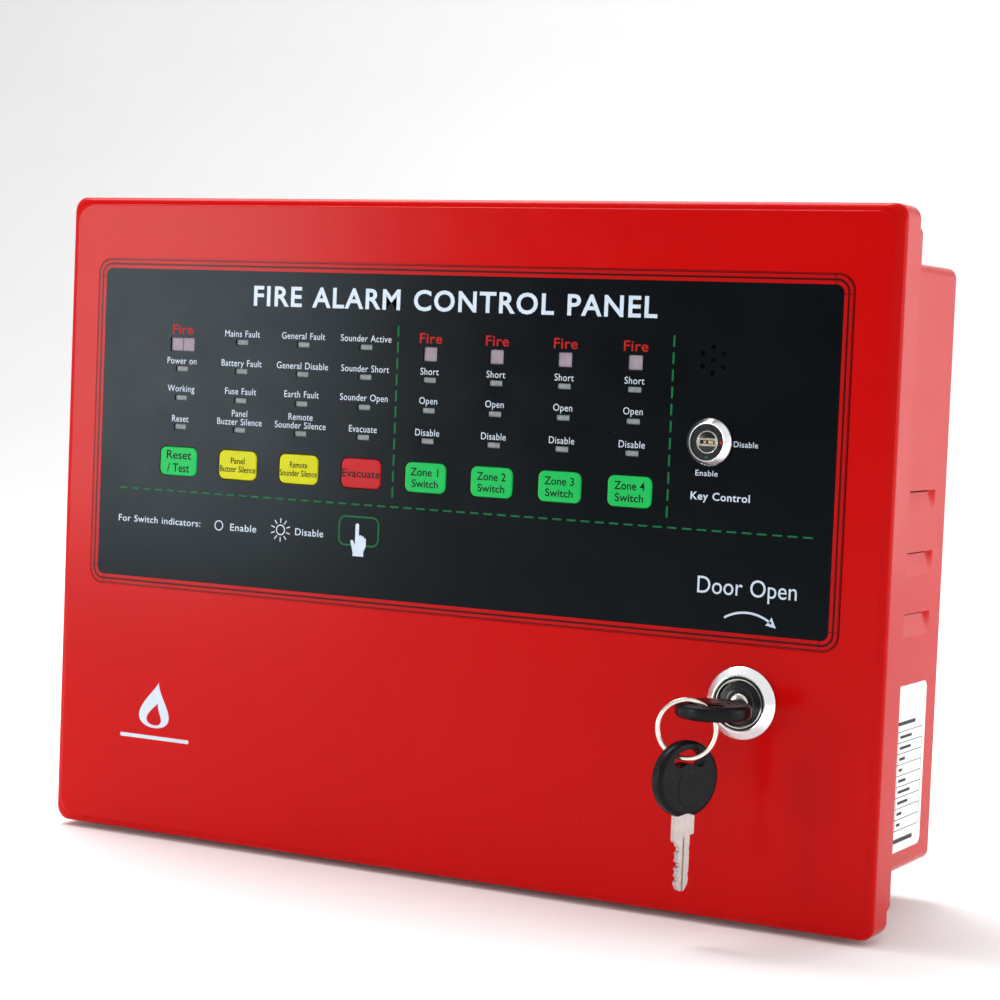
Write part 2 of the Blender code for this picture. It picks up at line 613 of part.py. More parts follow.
def make_fascia(mats, door):
    """The printed overlay in its recess, with openings for the pads, switch and buzzer."""
    front = FACE_Y + RECESS_DEPTH - GAP - FASCIA_THICK
    back = front + FASCIA_THICK
    fascia = make_object("fascia_overlay", stack([(fascia_outline(), front),
                                                  (fascia_outline(), back)]), mats["fascia"], door)
    for i in range(COLUMNS):
        pad = pad_outline(i, GAP)
        cut(fascia, stack([(pad, front - 1), (pad, back + 1)]))
    cut(fascia, rod(*door_xz(KEY_SWITCH_X, KEY_SWITCH_Z), 6.4, front - 1, back + 1, 24))
    holes = [(BUZZER_X, BUZZER_Z)]
    holes += [(BUZZER_X + u, BUZZER_Z + v) for u, v in arc_points((0, 0), BUZZER_RING_R, 30, 330, 5)]
    for x, z in holes:
        cut(fascia, rod(*door_xz(x, z), BUZZER_HOLE_R, front - 1, back + 1, 8))


def make_pads(mats, door):
    """Eight key pads, each sliding in its own opening above a switch on the board."""
    colours = ("pad_green", "pad_yellow", "pad_yellow", "pad_red") + ("pad_green",) * 4
    face = FACE_Y - 0.35
    flange_y = DOOR_INNER_Y + GAP
    for i, (name, colour) in enumerate(zip(PAD_NAMES, colours)):
        x, z = door_xz(column_x(i), PAD_Z)
        stem = rounded_rect(x - 1.6, x + 1.6, z - 1.6, z + 1.6, 0.9, 3)
        pad = stack([(pad_outline(i, -0.35), face), (pad_outline(i), face + 0.3),
                     (pad_outline(i), flange_y), (pad_outline(i, 1.0), flange_y),
                     (pad_outline(i, 1.0), flange_y + 1.0), (stem, flange_y + 1.0),
                     (stem, BOARD_FRONT_Y - 4.1)])
        make_object(name, pad, mats[colour], door, origin=(x, face, z))


def board_screw_places():
    """Where the control board is screwed to the door's bosses."""
    return [door_xz(x, z) for x in (BOARD_LEFT + 6, BOARD_RIGHT - 6)
            for z in (BOARD_LOW + 4, BOARD_HIGH - 5)]


def make_control_board(mats, door):
    """The main board behind the fascia, with a switch under each pad, and its screws."""
    back = BOARD_FRONT_Y + BOARD_THICK
    low, high = door_xz(0, BOARD_LOW)[1], door_xz(0, BOARD_HIGH)[1]
    board = make_object("control_board", block(BOARD_LEFT, BOARD_RIGHT, BOARD_FRONT_Y, back,
                                               low, high), mats["board"], door)
    cut(board, rod(*door_xz(KEY_SWITCH_X, KEY_SWITCH_Z), 10.5, BOARD_FRONT_Y - 1, back + 1, 24))
    for i in range(COLUMNS):
        x, z = door_xz(column_x(i), PAD_Z)
        fuse(board, block(x - 3, x + 3, BOARD_FRONT_Y - 3.5, BOARD_FRONT_Y + 0.5, z - 3, z + 3))
    for number, (x, z) in enumerate(board_screw_places(), start=1):
        cut(board, rod(x, z, 1.7, BOARD_FRONT_Y - 1, back + 1, 10))
        screw = turned([(1.3, 0), (1.3, -(BOARD_THICK + 2 * GAP)), (2.8, -(BOARD_THICK + 2 * GAP)),
                        (2.8, -(BOARD_THICK + 2 * GAP) - 1.0), (1.8, -(BOARD_THICK + 2 * GAP) - 1.9)],
                       12)
        make_object("board_screw_%d" % number, screw, mats["steel"], door,
                    matrix=facing(OUT, (x, BOARD_FRONT_Y, z)))


def make_board_parts(mats, door):
    """What stands on the control board: light shield, buzzer, chip, relays and terminals."""
    front = BOARD_FRONT_Y - GAP
    low, high = door_xz(0, WINDOW_LOW - 3)[1], door_xz(0, WINDOW_HIGH + 3)[1]
    shroud = make_object("led_shroud", block(column_x(0) - 10, column_x(7) + 8,
                                             DOOR_INNER_Y + GAP, front, low, high),
                         mats["black"], door)
    for i in range(COLUMNS):
        x = column_x(i)
        cut(shroud, block(x - 3.0, x + 3.0, DOOR_INNER_Y - 1, front + 1, low + 3, high - 3))
    cut(shroud, wide_window(6.0, DOOR_INNER_Y - 1, front + 1))
    buzzer_profile = [(7.0, 0), (7.0, 5.6), (6.2, 6.6), (2.0, 6.6)]
    make_object("buzzer", turned(buzzer_profile, 24), mats["black"], door,
                matrix=facing(OUT, (BUZZER_X, front, door_xz(0, BUZZER_Z)[1])))
    back = BOARD_FRONT_Y + BOARD_THICK + GAP
    make_object("controller_chip", soft_block(-12, 2, back, back + 1.8, 52, 66, 0.5, 0.3),
                mats["black"], door)
    for name, x in (("relay_left", -95.0), ("relay_right", -70.0)):
        make_object(name, soft_block(x, x + 19, back, back + 15, 58, 73, 0.8, 0.5),
                    mats["relay"], door)
    for name, x in (("capacitor_left", 40.0), ("capacitor_right", 56.0)):
        profile = [(4.4, 0), (5.0, 0.6), (5.0, 15.4), (4.5, 16.0)]
        make_object(name, turned(profile, 20), mats["battery"], door,
                    matrix=facing(-OUT, (x, back, 62)))
    for name, left in (("field_terminals_left", -138.0), ("field_terminals_right", -30.0)):
        make_terminal_row(name, mats["terminal"], left, 8, 9.0, back, 1, 11, 82, 94, door)


# ---- Key switch and cam lock --------------------------------------------------------------

def make_key_switch(mats, door):
    """The key control: chrome bezel and barrel, nut, contact block and the turning plug."""
    x, z = door_xz(KEY_SWITCH_X, KEY_SWITCH_Z)
    seat = FACE_Y + RECESS_DEPTH - GAP - FASCIA_THICK - GAP
    place = facing(OUT, (x, seat, z))
    body = [(4.45, 2.2), (5.6, 2.2), (6.3, 2.7), (8.6, 0.6), (8.75, 0), (6.0, 0), (6.0, -13.0),
            (4.45, -13.0)]
    make_object("key_switch_body", turned(body, 32, closed=True), mats["chrome"], door,
                matrix=place)
    nut_front = DOOR_INNER_Y + GAP - seat
    nut = [(6.3, -nut_front), (8.6, -nut_front), (8.6, -nut_front - 3), (6.3, -nut_front - 3)]
    make_object("key_switch_nut", turned(nut, 24, closed=True), mats["steel"], door, matrix=place)
    contacts = [(2.0, -16.3), (6.5, -16.3), (7.5, -17.0), (7.5, -24.0), (2.0, -24.0)]
    make_object("key_switch_contacts", turned(contacts, 20, closed=True), mats["black"], door,
                matrix=place)
    pivot = make_pivot("pivot_key_switch_plug", (x, seat, z), door)
    plug = [(3.6, 2.4), (4.1, 2.1), (4.1, -16.0), (1.6, -16.0), (1.6, -25.0)]
    plug_object = make_object("key_switch_plug", turned(plug, 24), mats["black"], pivot,
                              origin=(x, seat, z), matrix=place)
    cut(plug_object, block(x - 3.1, x + 3.1, seat - 4, seat + 8, z - 0.9, z + 0.9))


def make_lock(mats, door):
    """The cam lock: housing and nut on the door, and the plug, cam and screw that turn."""
    x, z = door_xz(LOCK_X, LOCK_Z)
    seat = FACE_Y - GAP
    place = facing(OUT, (x, seat, z))
    body = [(8.35, 3.0), (8.9, 3.0), (9.7, 3.0), (13.1, 0.5), (13.3, 0), (9.1, 0), (9.1, -18.0),
            (6.0, -18.0), (6.0, -3.6), (8.35, -3.6)]
    make_object("lock_body", turned(body, 32, closed=True), mats["chrome"], door, matrix=place)
    nut_front = DOOR_INNER_Y + GAP - seat
    nut = [(9.4, -nut_front), (12.5, -nut_front), (12.5, -nut_front - 4), (9.4, -nut_front - 4)]
    make_object("lock_nut", turned(nut, 24, closed=True), mats["steel"], door, matrix=place)
    pivot = make_pivot("pivot_lock_plug", (x, seat, z), door)
    cam_back = seat - CAM_Y - CAM_THICK
    plug = [(7.6, 2.4), (8.0, 2.0), (8.0, -3.3), (5.65, -3.3), (5.65, -19.0), (3.0, -19.0),
            (3.0, cam_back + 0.5), (2.6, cam_back + 0.5)]
    plug_object = make_object("lock_plug", turned(plug, 24), mats["black"], pivot,
                              origin=(x, seat, z), matrix=place)
    cut(plug_object, block(x - 3.3, x + 3.3, seat - 4, seat + 18, z - 1.4, z + 1.4))
    outline = arc_points((x, z), 7.5, 0, 180, 8) + [(x - 5.5, z - CAM_LENGTH + 3)]
    outline += [(x - 3.5, z - CAM_LENGTH), (x + 3.5, z - CAM_LENGTH), (x + 5.5, z - CAM_LENGTH + 3)]
    cam = make_object("lock_cam", stack([(outline, CAM_Y), (outline, CAM_Y + CAM_THICK)]),
                      mats["steel"], pivot, origin=(x, seat, z))
    cut(cam, rod(x, z, 3.3, CAM_Y - 1, CAM_Y + CAM_THICK + 1, 20))
    screw = [(1.0, cam_back), (4.6, cam_back), (4.6, cam_back - 1.0), (3.0, cam_back - 2.2)]
    make_object("cam_screw", turned([(r, h - GAP) for r, h in screw], 16), mats["steel"], pivot,
                origin=(x, seat, z), matrix=place)
    return pivot, (x, seat, z)


# ---- Keys ---------------------------------------------------------------------------------
# In a key's own frame the blade runs down -Z, the flat faces point along Y, and the middle
# of the bow is the origin.

SHOULDER_W, BLADE_W = 8.6, 5.2
TANG_TOP, SHOULDER_LOW, TIP_LOW = -5.0, -22.0, -39.2


def make_bow(name, mats, parent, origin, matrix):
    """The moulded round bow with its curved ring hole and the slot for the blade's tang."""
    half, edge = BOW_THICK / 2, 1.5
    profile = [(BOW_R - edge, -half), (BOW_R - 0.45, -half + 0.45), (BOW_R, -half + edge),
               (BOW_R, half - edge), (BOW_R - 0.45, half - 0.45), (BOW_R - edge, half)]
    bow = make_object(name, turned(profile, 32), mats["black"], parent, origin,
                      matrix @ Matrix.Rotation(pi / 2, 4, "X"))
    start, end = 90 - HOLE_ANGLE, 90 + HOLE_ANGLE
    outer = arc_points((0, 0), HOLE_R + HOLE_HALF, start, end, 6)
    left = arc_points(arc_points((0, 0), HOLE_R, end, end, 1)[0], HOLE_HALF, end, end + 180, 4)
    inner = arc_points((0, 0), HOLE_R - HOLE_HALF, end, start, 6)
    right = arc_points(arc_points((0, 0), HOLE_R, start, start, 1)[0], HOLE_HALF,
                       start + 180, start + 360, 4)
    hole = outer + left[1:-1] + inner + right[1:-1]
    cut(bow, stack([(hole, -half - 1), (hole, half + 1)]), matrix)
    slot_w, slot_t = SHOULDER_W / 2 + GAP, KEY_THICK / 2 + GAP
    cut(bow, block(-slot_w, slot_w, -slot_t, slot_t, -BOW_R - 1, TANG_TOP + GAP), matrix)


def make_blade(name, mats, parent, origin, matrix):
    """The flat metal blade: tang and shoulder, then the narrower bitted end."""
    half, narrow = SHOULDER_W / 2, BLADE_W / 2
    cuts = ((-25.0, 0.9), (-27.5, 0.2), (-29.5, 1.3), (-32.0, 0.5), (-34.0, 1.1), (-36.0, 0.2))
    left = [(-half, TANG_TOP), (-half, SHOULDER_LOW), (-narrow, SHOULDER_LOW)]
    left += [(-narrow + depth, z) for z, depth in cuts]
    outline = left + [(-narrow + 0.8, TIP_LOW + 1.2), (-0.6, TIP_LOW), (0.9, TIP_LOW)]
    outline += [(narrow - 0.3, TIP_LOW + 1.8), (narrow, TIP_LOW + 4), (narrow, SHOULDER_LOW + 2.5),
                (half, SHOULDER_LOW + 2.5), (half, TANG_TOP)]
    thick = KEY_THICK / 2
    make_object(name, stack([(outline, -thick), (outline, thick)]), mats["brass"], parent, origin,
                matrix)


def make_keys(mats, plug_pivot, lock_place):
    """The key in the lock, the split ring through its bow, and the spare key on the ring."""
    x, seat, z = lock_place
    bow_y = FACE_Y - BOW_OUT
    into_lock = Matrix(((1, 0, 0, x), (0, 0, -1, bow_y), (0, 1, 0, z), (0, 0, 0, 1)))
    key_origin = (x, bow_y, z)
    key = make_pivot("pivot_lock_key", key_origin, plug_pivot)
    make_bow("lock_key_bow", mats, key, key_origin, into_lock)
    make_blade("lock_key_blade", mats, key, key_origin, into_lock)

    along, centre, inner = ring_direction(), ring_centre(), RING_R - RING_WIRE / 2
    hang = centre + UP * RING_R
    ring = make_pivot("pivot_key_ring", hang, key)
    half, wide = RING_WIRE / 2, RING_WIDTH / 2
    section = [(RING_R - half, 0), (RING_R - half + 0.4, -wide), (RING_R + half - 0.4, -wide),
               (RING_R + half, 0), (RING_R + half - 0.4, wide), (RING_R - half + 0.4, wide)]
    facing_ring = facing(along.cross(UP), centre)
    make_object("key_ring", turned(section, 28, closed=True), mats["steel"], ring, hang,
                facing_ring)

    low = centre - UP * RING_R
    spare = make_pivot("pivot_spare_key", low, ring)
    bow_centre = centre - UP * (inner - SPARE_RISE + HOLE_R + HOLE_HALF)
    turn = Matrix.Rotation(radians(SPARE_AZIMUTH), 4, "Z")
    hanging = Matrix.Translation(bow_centre) @ turn
    make_bow("spare_key_bow", mats, spare, low, hanging)
    make_blade("spare_key_blade", mats, spare, low, hanging)


def ring_direction():
    """The horizontal direction in the ring's plane."""
    angle = radians(RING_AZIMUTH)
    return Vector((cos(angle), sin(angle), 0))


def ring_centre():
    """The ring's middle: left of the bow's hole, and below the bow it hangs from."""
    x, z = door_xz(LOCK_X, LOCK_Z)
    return Vector((x - RING_LEFT, FACE_Y - BOW_OUT - RING_OUT, z + BOW_THICK / 2 - RING_DROP))


# ---- The whole panel ----------------------------------------------------------------------

def clear_scene():
    for thing in list(bpy.context.scene.objects):
        bpy.data.objects.remove(thing, do_unlink=True)


def main():
    clear_scene()
    mats = make_materials()
    make_back_box(mats)
    make_hinge_pins(mats)
    make_cable_grommets(mats)
    make_side_label(mats)
    make_batteries(mats)
    make_battery_strap(mats)
    make_transformer(mats)
    make_power_supply(mats)
    make_earth_stud(mats)
    make_lock_strike(mats)
    door = make_pivot("pivot_door", (HINGE_X, HINGE_Y, DOOR_Z))
    make_door_shell(mats, door)
    make_fascia(mats, door)
    make_pads(mats, door)
    make_control_board(mats, door)
    make_board_parts(mats, door)
    make_key_switch(mats, door)
    plug_pivot, lock_place = make_lock(mats, door)
    make_keys(mats, plug_pivot, lock_place)


main()
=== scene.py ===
"""Looks of the wall-mounted fire alarm control panel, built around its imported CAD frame.

Lengths in this file are in millimetres unless a name ends in _M; pieces are scaled to metres
when they are made. The panel's door faces -Y, +X is to the viewer's right and +Z is up.
"""
from math import cos, pi, radians, sin, sqrt

import bmesh
import bpy
from mathutils import Matrix, Vector


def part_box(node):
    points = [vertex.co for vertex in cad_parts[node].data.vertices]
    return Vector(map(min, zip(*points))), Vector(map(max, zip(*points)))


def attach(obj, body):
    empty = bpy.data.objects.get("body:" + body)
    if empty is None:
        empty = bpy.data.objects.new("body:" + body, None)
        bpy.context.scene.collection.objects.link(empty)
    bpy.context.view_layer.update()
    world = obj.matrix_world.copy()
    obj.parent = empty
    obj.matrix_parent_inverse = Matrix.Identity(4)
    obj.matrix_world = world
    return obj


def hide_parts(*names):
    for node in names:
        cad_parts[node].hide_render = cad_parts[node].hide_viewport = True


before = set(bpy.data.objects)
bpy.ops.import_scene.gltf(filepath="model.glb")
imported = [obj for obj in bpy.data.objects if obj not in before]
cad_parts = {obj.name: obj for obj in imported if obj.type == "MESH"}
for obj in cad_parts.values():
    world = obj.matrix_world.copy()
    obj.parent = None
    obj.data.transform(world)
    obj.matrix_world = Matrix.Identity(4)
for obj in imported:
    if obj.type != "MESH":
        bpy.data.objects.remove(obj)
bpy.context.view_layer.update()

MM = 0.001
ROUND = 96                # sides of a finely turned piece


# ---- Places, from the frame --------------------------------------------------------------

def node_box(node):
    """A CAD node's lowest and highest corners, in millimetres."""
    low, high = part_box(node)
    return Vector(low) / MM, Vector(high) / MM


def node_middle(node):
    low, high = node_box(node)
    return (low + high) / 2


DOOR_LOW, DOOR_HIGH = node_box("door_shell")
DOOR_W, DOOR_H = DOOR_HIGH.x - DOOR_LOW.x, DOOR_HIGH.z - DOOR_LOW.z
DOOR_X, DOOR_Z = node_middle("door_shell").x, node_middle("door_shell").z
FACE_Y = DOOR_LOW.y
DOOR_THICK, DOOR_WALL, DOOR_R = 16.0, 2.5, 5.0
FASCIA_LOW, FASCIA_HIGH = node_box("fascia_overlay")
FASCIA_Y = FASCIA_LOW.y
FASCIA_R, FASCIA_BORDER = 6.0, 3.7
INK = 0.02                # thickness of one layer of print
PADS = ("button_reset", "button_panel_buzzer", "button_sounder_silence", "button_evacuate",
        "button_zone_1", "button_zone_2", "button_zone_3", "button_zone_4")
PAD_W, PAD_H, PAD_R = 17.9, 11.4, 2.6
PAD_MIDDLES = [node_middle(name) for name in PADS]
PITCH = (PAD_MIDDLES[7].x - PAD_MIDDLES[0].x) / 7
GAP = 0.3

# Rows of the fascia, from the door's middle
ROW_ZS = (71.7, 60.2, 48.65, 37.05)
FIRE_Z, FIRE_W, FIRE_H = 70.0, 6.0, 5.6
WINDOW_W, WINDOW_H = 5.8, 2.3
BUZZER_MIDDLE = node_middle("buzzer")
BUZZER_HOLE_R, BUZZER_RING_R = 0.95, 4.6
BUZZER_BORE_R, SWITCH_BORE_R, LOCK_BORE_R = 7.3, 6.4, 9.4    # the door's bores
SLOT_HALF_W = 3.2         # half the width of the door's slots behind the windows
SWITCH_MIDDLE = node_middle("key_switch_body")
LOCK_MIDDLE = node_middle("lock_body")
LOCK_SEAT_Y = FACE_Y - GAP


def on_door(x, z):
    """A place given from the door's middle, in the panel's X and Z."""
    return x + DOOR_X, z + DOOR_Z


# ---- Meshes ------------------------------------------------------------------------------

def on_circle(centre, radius, angle):
    """The point of a circle at an angle in degrees."""
    return (centre[0] + radius * cos(radians(angle)), centre[1] + radius * sin(radians(angle)))


def arc(centre, radius, start, end, steps):
    """Points on an arc as (u, v) pairs, both ends included; angles in degrees."""
    return [on_circle(centre, radius, start + (end - start) * i / steps) for i in range(steps + 1)]


def circle(centre, radius, sides=ROUND):
    return arc(centre, radius, 0, 360 * (sides - 1) / sides, sides - 1)


def rounded(centre, width, height, radius, steps=10):
    """A rectangle with round corners, as (u, v) pairs, anticlockwise."""
    points = []
    half_w, half_h = width / 2 - radius, height / 2 - radius
    for turn, (side, rise) in enumerate(((1, -1), (1, 1), (-1, 1), (-1, -1))):
        corner = (centre[0] + side * half_w, centre[1] + rise * half_h)
        points += arc(corner, radius, 90 * turn - 90, 90 * turn, steps)
    return points


def axes_y(u, v, height):
    """Places an outline point on a plane across Y."""
    return (u, height, v)


def axes_x(u, v, height):
    return (height, u, v)


def axes_z(u, v, height):
    return (u, v, height)


def bridge(mesh, rows, closed=True):
    """Quads between each row of corners and the next; a closed row joins its end to its start."""
    for first, second in zip(rows, rows[1:]):
        for i in range(len(first) if closed else len(first) - 1):
            following = (i + 1) % len(first)
            mesh.faces.new((first[i], first[following], second[following], second[i]))


def add_shell(mesh, rings):
    """A closed solid through rings of corners."""
    bridge(mesh, rings)
    mesh.faces.new(rings[0])
    mesh.faces.new(rings[-1])


def add_stack(mesh, levels, axes=axes_y):
    """A closed solid through outlines of equal length, each an (outline, height) pair."""
    add_shell(mesh, [[mesh.verts.new(axes(u, v, height)) for u, v in outline]
                     for outline, height in levels])


def add_prism(mesh, outline, start, end, axes=axes_y):
    """A straight solid on an outline, between two heights."""
    add_stack(mesh, [(outline, start), (outline, end)], axes)


def add_turned(mesh, profile, matrix, closed=False, sides=ROUND):
    """A solid turned about local Z from (radius, height) points; a closed profile is a ring."""
    rings = [[mesh.verts.new(matrix @ Vector((u, v, height)))
              for u, v in circle((0, 0), radius, sides)] for radius, height in profile]
    if closed:
        bridge(mesh, rings + rings[:1])
    else:
        add_shell(mesh, rings)


def add_box(mesh, low, high):
    """A plain block between two corners, in any order."""
    left, right = sorted((low[0], high[0]))
    front, back = sorted((low[1], high[1]))
    bottom, top = sorted((low[2], high[2]))
    outline = [(right, bottom), (right, top), (left, top), (left, bottom)]
    add_prism(mesh, outline, front, back)


def add_curve(mesh, curve, matrix):
    """The filled solid of a flat curve or of letters, from the XY plane."""
    thing = bpy.data.objects.new("shape", curve)
    filled = bpy.data.meshes.new_from_object(thing)
    welded = bmesh.new()
    welded.from_mesh(filled)
    bmesh.ops.remove_doubles(welded, verts=welded.verts, dist=0.0005)
    bmesh.ops.transform(welded, matrix=matrix, verts=welded.verts)
    welded.to_mesh(filled)
    welded.free()
    mesh.from_mesh(filled)
    bpy.data.objects.remove(thing)
    bpy.data.curves.remove(curve)
    bpy.data.meshes.remove(filled)


def standing(front, back):
    """The matrix that stands a flat curve across Y, between a front and a back plane."""
    return Matrix.Translation((0, (front + back) / 2, 0)) @ Matrix.Rotation(pi / 2, 4, "X")


def add_plate(mesh, outlines, front, back, matrix=None):
    """A flat sheet from closed outlines, the inner ones being its openings."""
    curve = bpy.data.curves.new("outline", "CURVE")
    curve.dimensions = "2D"
    curve.fill_mode = "BOTH"
    curve.extrude = (back - front) / 2
    for outline in outlines:
        spline = curve.splines.new("POLY")
        spline.points.add(len(outline) - 1)
        for point, (u, v) in zip(spline.points, outline):
            point.co = (u, v, 0, 1)
        spline.use_cyclic_u = True
    add_curve(mesh, curve, matrix or standing(front, back))


def letters_curve(text, weight, spacing=1.0):
    """Letters of size 1, centred, their strokes thickened by a weight."""
    curve = bpy.data.curves.new("letters", "FONT")
    curve.body = text
    curve.align_x = "CENTER"
    curve.offset = weight
    curve.resolution_u = 4
    curve.space_word = 1.15
    curve.space_character = spacing
    return curve


def letters_size(text, weight, spacing=1.0):
    """The width and the height over the base line of letters of size 1."""
    curve = letters_curve(text, weight, spacing)
    thing = bpy.data.objects.new("measure", curve)
    flat = bpy.data.meshes.new_from_object(thing)
    xs = [v.co.x for v in flat.vertices]
    high = max(v.co.y for v in flat.vertices)
    bpy.data.objects.remove(thing)
    bpy.data.curves.remove(curve)
    bpy.data.meshes.remove(flat)
    return max(xs) - min(xs), high


CAPITAL = letters_size("H", 0)[1]


def add_letters(mesh, text, place, capital, front, weight=0.0, width=None, stretch=0.9,
                spacing=1.0):
    """Printed letters centred on a place; capital is the height of a capital letter."""
    size = capital / CAPITAL
    if width is not None:
        stretch = width / (letters_size(text, weight, spacing)[0] * size)
    curve = letters_curve(text, weight, spacing)
    curve.extrude = 0.5
    base = place[1] - capital / 2
    scale = Matrix.Diagonal((size * stretch, size, INK * 2, 1))
    lay = Matrix.Translation((place[0], front, base)) @ Matrix.Rotation(pi / 2, 4, "X")
    add_curve(mesh, curve, lay @ scale)


def place_object(name, data):
    """A new object in the scene."""
    thing = bpy.data.objects.new(name, data)
    bpy.context.scene.collection.objects.link(thing)
    return thing


def carve(mesh, cutter):
    """The mesh with a cutter taken away by an exact Boolean; both bmeshes are used up."""
    things = []
    for part in (mesh, cutter):
        bmesh.ops.recalc_face_normals(part, faces=part.faces)
        data = bpy.data.meshes.new("part")
        part.to_mesh(data)
        part.free()
        things.append(place_object("part", data))
    boolean = things[0].modifiers.new("cut", "BOOLEAN")
    boolean.operation = "DIFFERENCE"
    boolean.solver = "EXACT"
    boolean.object = things[1]
    graph = bpy.context.evaluated_depsgraph_get()
    done = bpy.data.meshes.new_from_object(things[0].evaluated_get(graph))
    result = bmesh.new()
    result.from_mesh(done)
    for thing in things:
        bpy.data.objects.remove(thing, do_unlink=True)
    return result


def piece(name, mesh, finish, body, replaces=(), bevel=0.0, angle=32):
    """A finished piece from a bmesh in millimetres, riding on a body."""
    bmesh.ops.recalc_face_normals(mesh, faces=mesh.faces)
    bmesh.ops.scale(mesh, vec=(MM, MM, MM), verts=mesh.verts)
    data = bpy.data.meshes.new(name)
    mesh.to_mesh(data)
    mesh.free()
    data.materials.append(MAT[finish])
    data.shade_smooth()
    data.set_sharp_from_angle(angle=radians(angle))
    thing = place_object(name, data)
    if bevel:
        soften(thing, bevel)
    even_shading(thing)
    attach(thing, body)
    if replaces:
        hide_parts(*replaces)
    return thing


def even_shading(thing):
    """Keeps large flat faces flat beside their rounded edges."""
    weighted = thing.modifiers.new("shading", "WEIGHTED_NORMAL")
    weighted.keep_sharp = True


def soften(thing, width, segments=2):
    """Rounds an object's sharp edges."""
    bevel = thing.modifiers.new("edges", "BEVEL")
    bevel.width = width * MM
    bevel.segments = segments
    bevel.limit_method = "ANGLE"
    bevel.angle_limit = radians(35)
    bevel.harden_normals = True


def facing(direction, centre):
    """The matrix that puts local Z along a direction at a centre."""
    turn = Vector(direction).to_track_quat("Z", "Y").to_matrix().to_4x4()
    return Matrix.Translation(Vector(centre)) @ turn


OUT = (0, -1, 0)


# ---- Materials ---------------------------------------------------------------------------

class Paint:
    """A Principled material that grows procedural detail on object coordinates."""

    def __init__(self, name, colour, roughness, metallic=0.0, **sockets):
        self.name = name
        self.material = bpy.data.materials.new("finish_" + name)
        self.material.use_nodes = True
        self.nodes = self.material.node_tree.nodes
        self.links = self.material.node_tree.links
        self.shader = self.nodes["Principled BSDF"]
        self.colour = (*colour, 1.0)
        self.shader.inputs["Base Color"].default_value = self.colour
        self.shader.inputs["Roughness"].default_value = roughness
        self.shader.inputs["Metallic"].default_value = metallic
        for socket, value in sockets.items():
            self.shader.inputs[socket.replace("_", " ")].default_value = value
        self.place = self.nodes.new("ShaderNodeTexCoord").outputs["Object"]
        self.roughness = roughness
        self.normal = None

    def noise(self, size, detail=3.0, stretch=(1, 1, 1)):
        """A noise whose features are about a size across, in millimetres."""
        mapping = self.nodes.new("ShaderNodeMapping")
        mapping.inputs["Scale"].default_value = stretch
        self.links.new(self.place, mapping.inputs["Vector"])
        noise = self.nodes.new("ShaderNodeTexNoise")
        noise.inputs["Scale"].default_value = 1 / (size * MM)
        noise.inputs["Detail"].default_value = detail
        self.links.new(mapping.outputs["Vector"], noise.inputs["Vector"])
        return noise.outputs["Fac"]

    def spread(self, value, low, high, start=0.3, end=0.7):
        """A value stretched to a range."""
        ranged = self.nodes.new("ShaderNodeMapRange")
        ranged.inputs["From Min"].default_value = start
        ranged.inputs["From Max"].default_value = end
        ranged.inputs["To Min"].default_value = low
        ranged.inputs["To Max"].default_value = high
        self.links.new(value, ranged.inputs["Value"])
        return ranged.outputs["Result"]

    def colour_mix(self):
        """A mix that takes in the colour so far and stands in its place."""
        mix = self.nodes.new("ShaderNodeMix")
        mix.data_type = "RGBA"
        source = self.shader.inputs["Base Color"]
        if source.is_linked:
            self.links.new(source.links[0].from_socket, mix.inputs["A"])
        else:
            mix.inputs["A"].default_value = self.colour
        self.links.new(mix.outputs["Result"], source)
        return mix

    def mottle(self, size, amount, stretch=(1, 1, 1)):
        """The colour drifts lighter and darker over patches."""
        mix = self.colour_mix()
        mix.blend_type = "MULTIPLY"
        mix.inputs["Factor"].default_value = 1.0
        shade = self.spread(self.noise(size, 4.0, stretch), 1 - amount, 1 + amount)
        self.links.new(shade, mix.inputs["B"])
        return self

    def fleck(self, size, colour, share):
        """Small specks of another colour over a share of the surface."""
        mix = self.colour_mix()
        mix.inputs["B"].default_value = (*colour, 1.0)
        mask = self.spread(self.noise(size, 2.0), 0.0, 1.0, 1 - share, 1 - share + 0.02)
        self.links.new(mask, mix.inputs["Factor"])
        return self

    def smudge(self, size, amount, stretch=(1, 1, 1)):
        """The roughness varies, as handling and moulding leave it."""
        low, high = self.roughness * (1 - amount), self.roughness * (1 + amount)
        value = self.spread(self.noise(size, 5.0, stretch), low, high)
        self.links.new(value, self.shader.inputs["Roughness"])
        return self

    def grain(self, size, depth, stretch=(1, 1, 1)):
        """A fine surface relief of a depth in millimetres."""
        bump = self.nodes.new("ShaderNodeBump")
        bump.inputs["Strength"].default_value = 1.0
        bump.inputs["Distance"].default_value = depth * MM
        self.links.new(self.noise(size, 2.0, stretch), bump.inputs["Height"])
        if self.normal is not None:
            self.links.new(self.normal, bump.inputs["Normal"])
        self.normal = bump.outputs["Normal"]
        self.links.new(self.normal, self.shader.inputs["Normal"])
        return self


SHEEN = 0.08              # the low surface reflection of the moulded and printed plastics


def dull(name, colour, roughness, **sockets):
    """A paint with the low reflection of the moulded and printed plastics."""
    return Paint(name, colour, roughness, Specular_IOR_Level=SHEEN, **sockets)


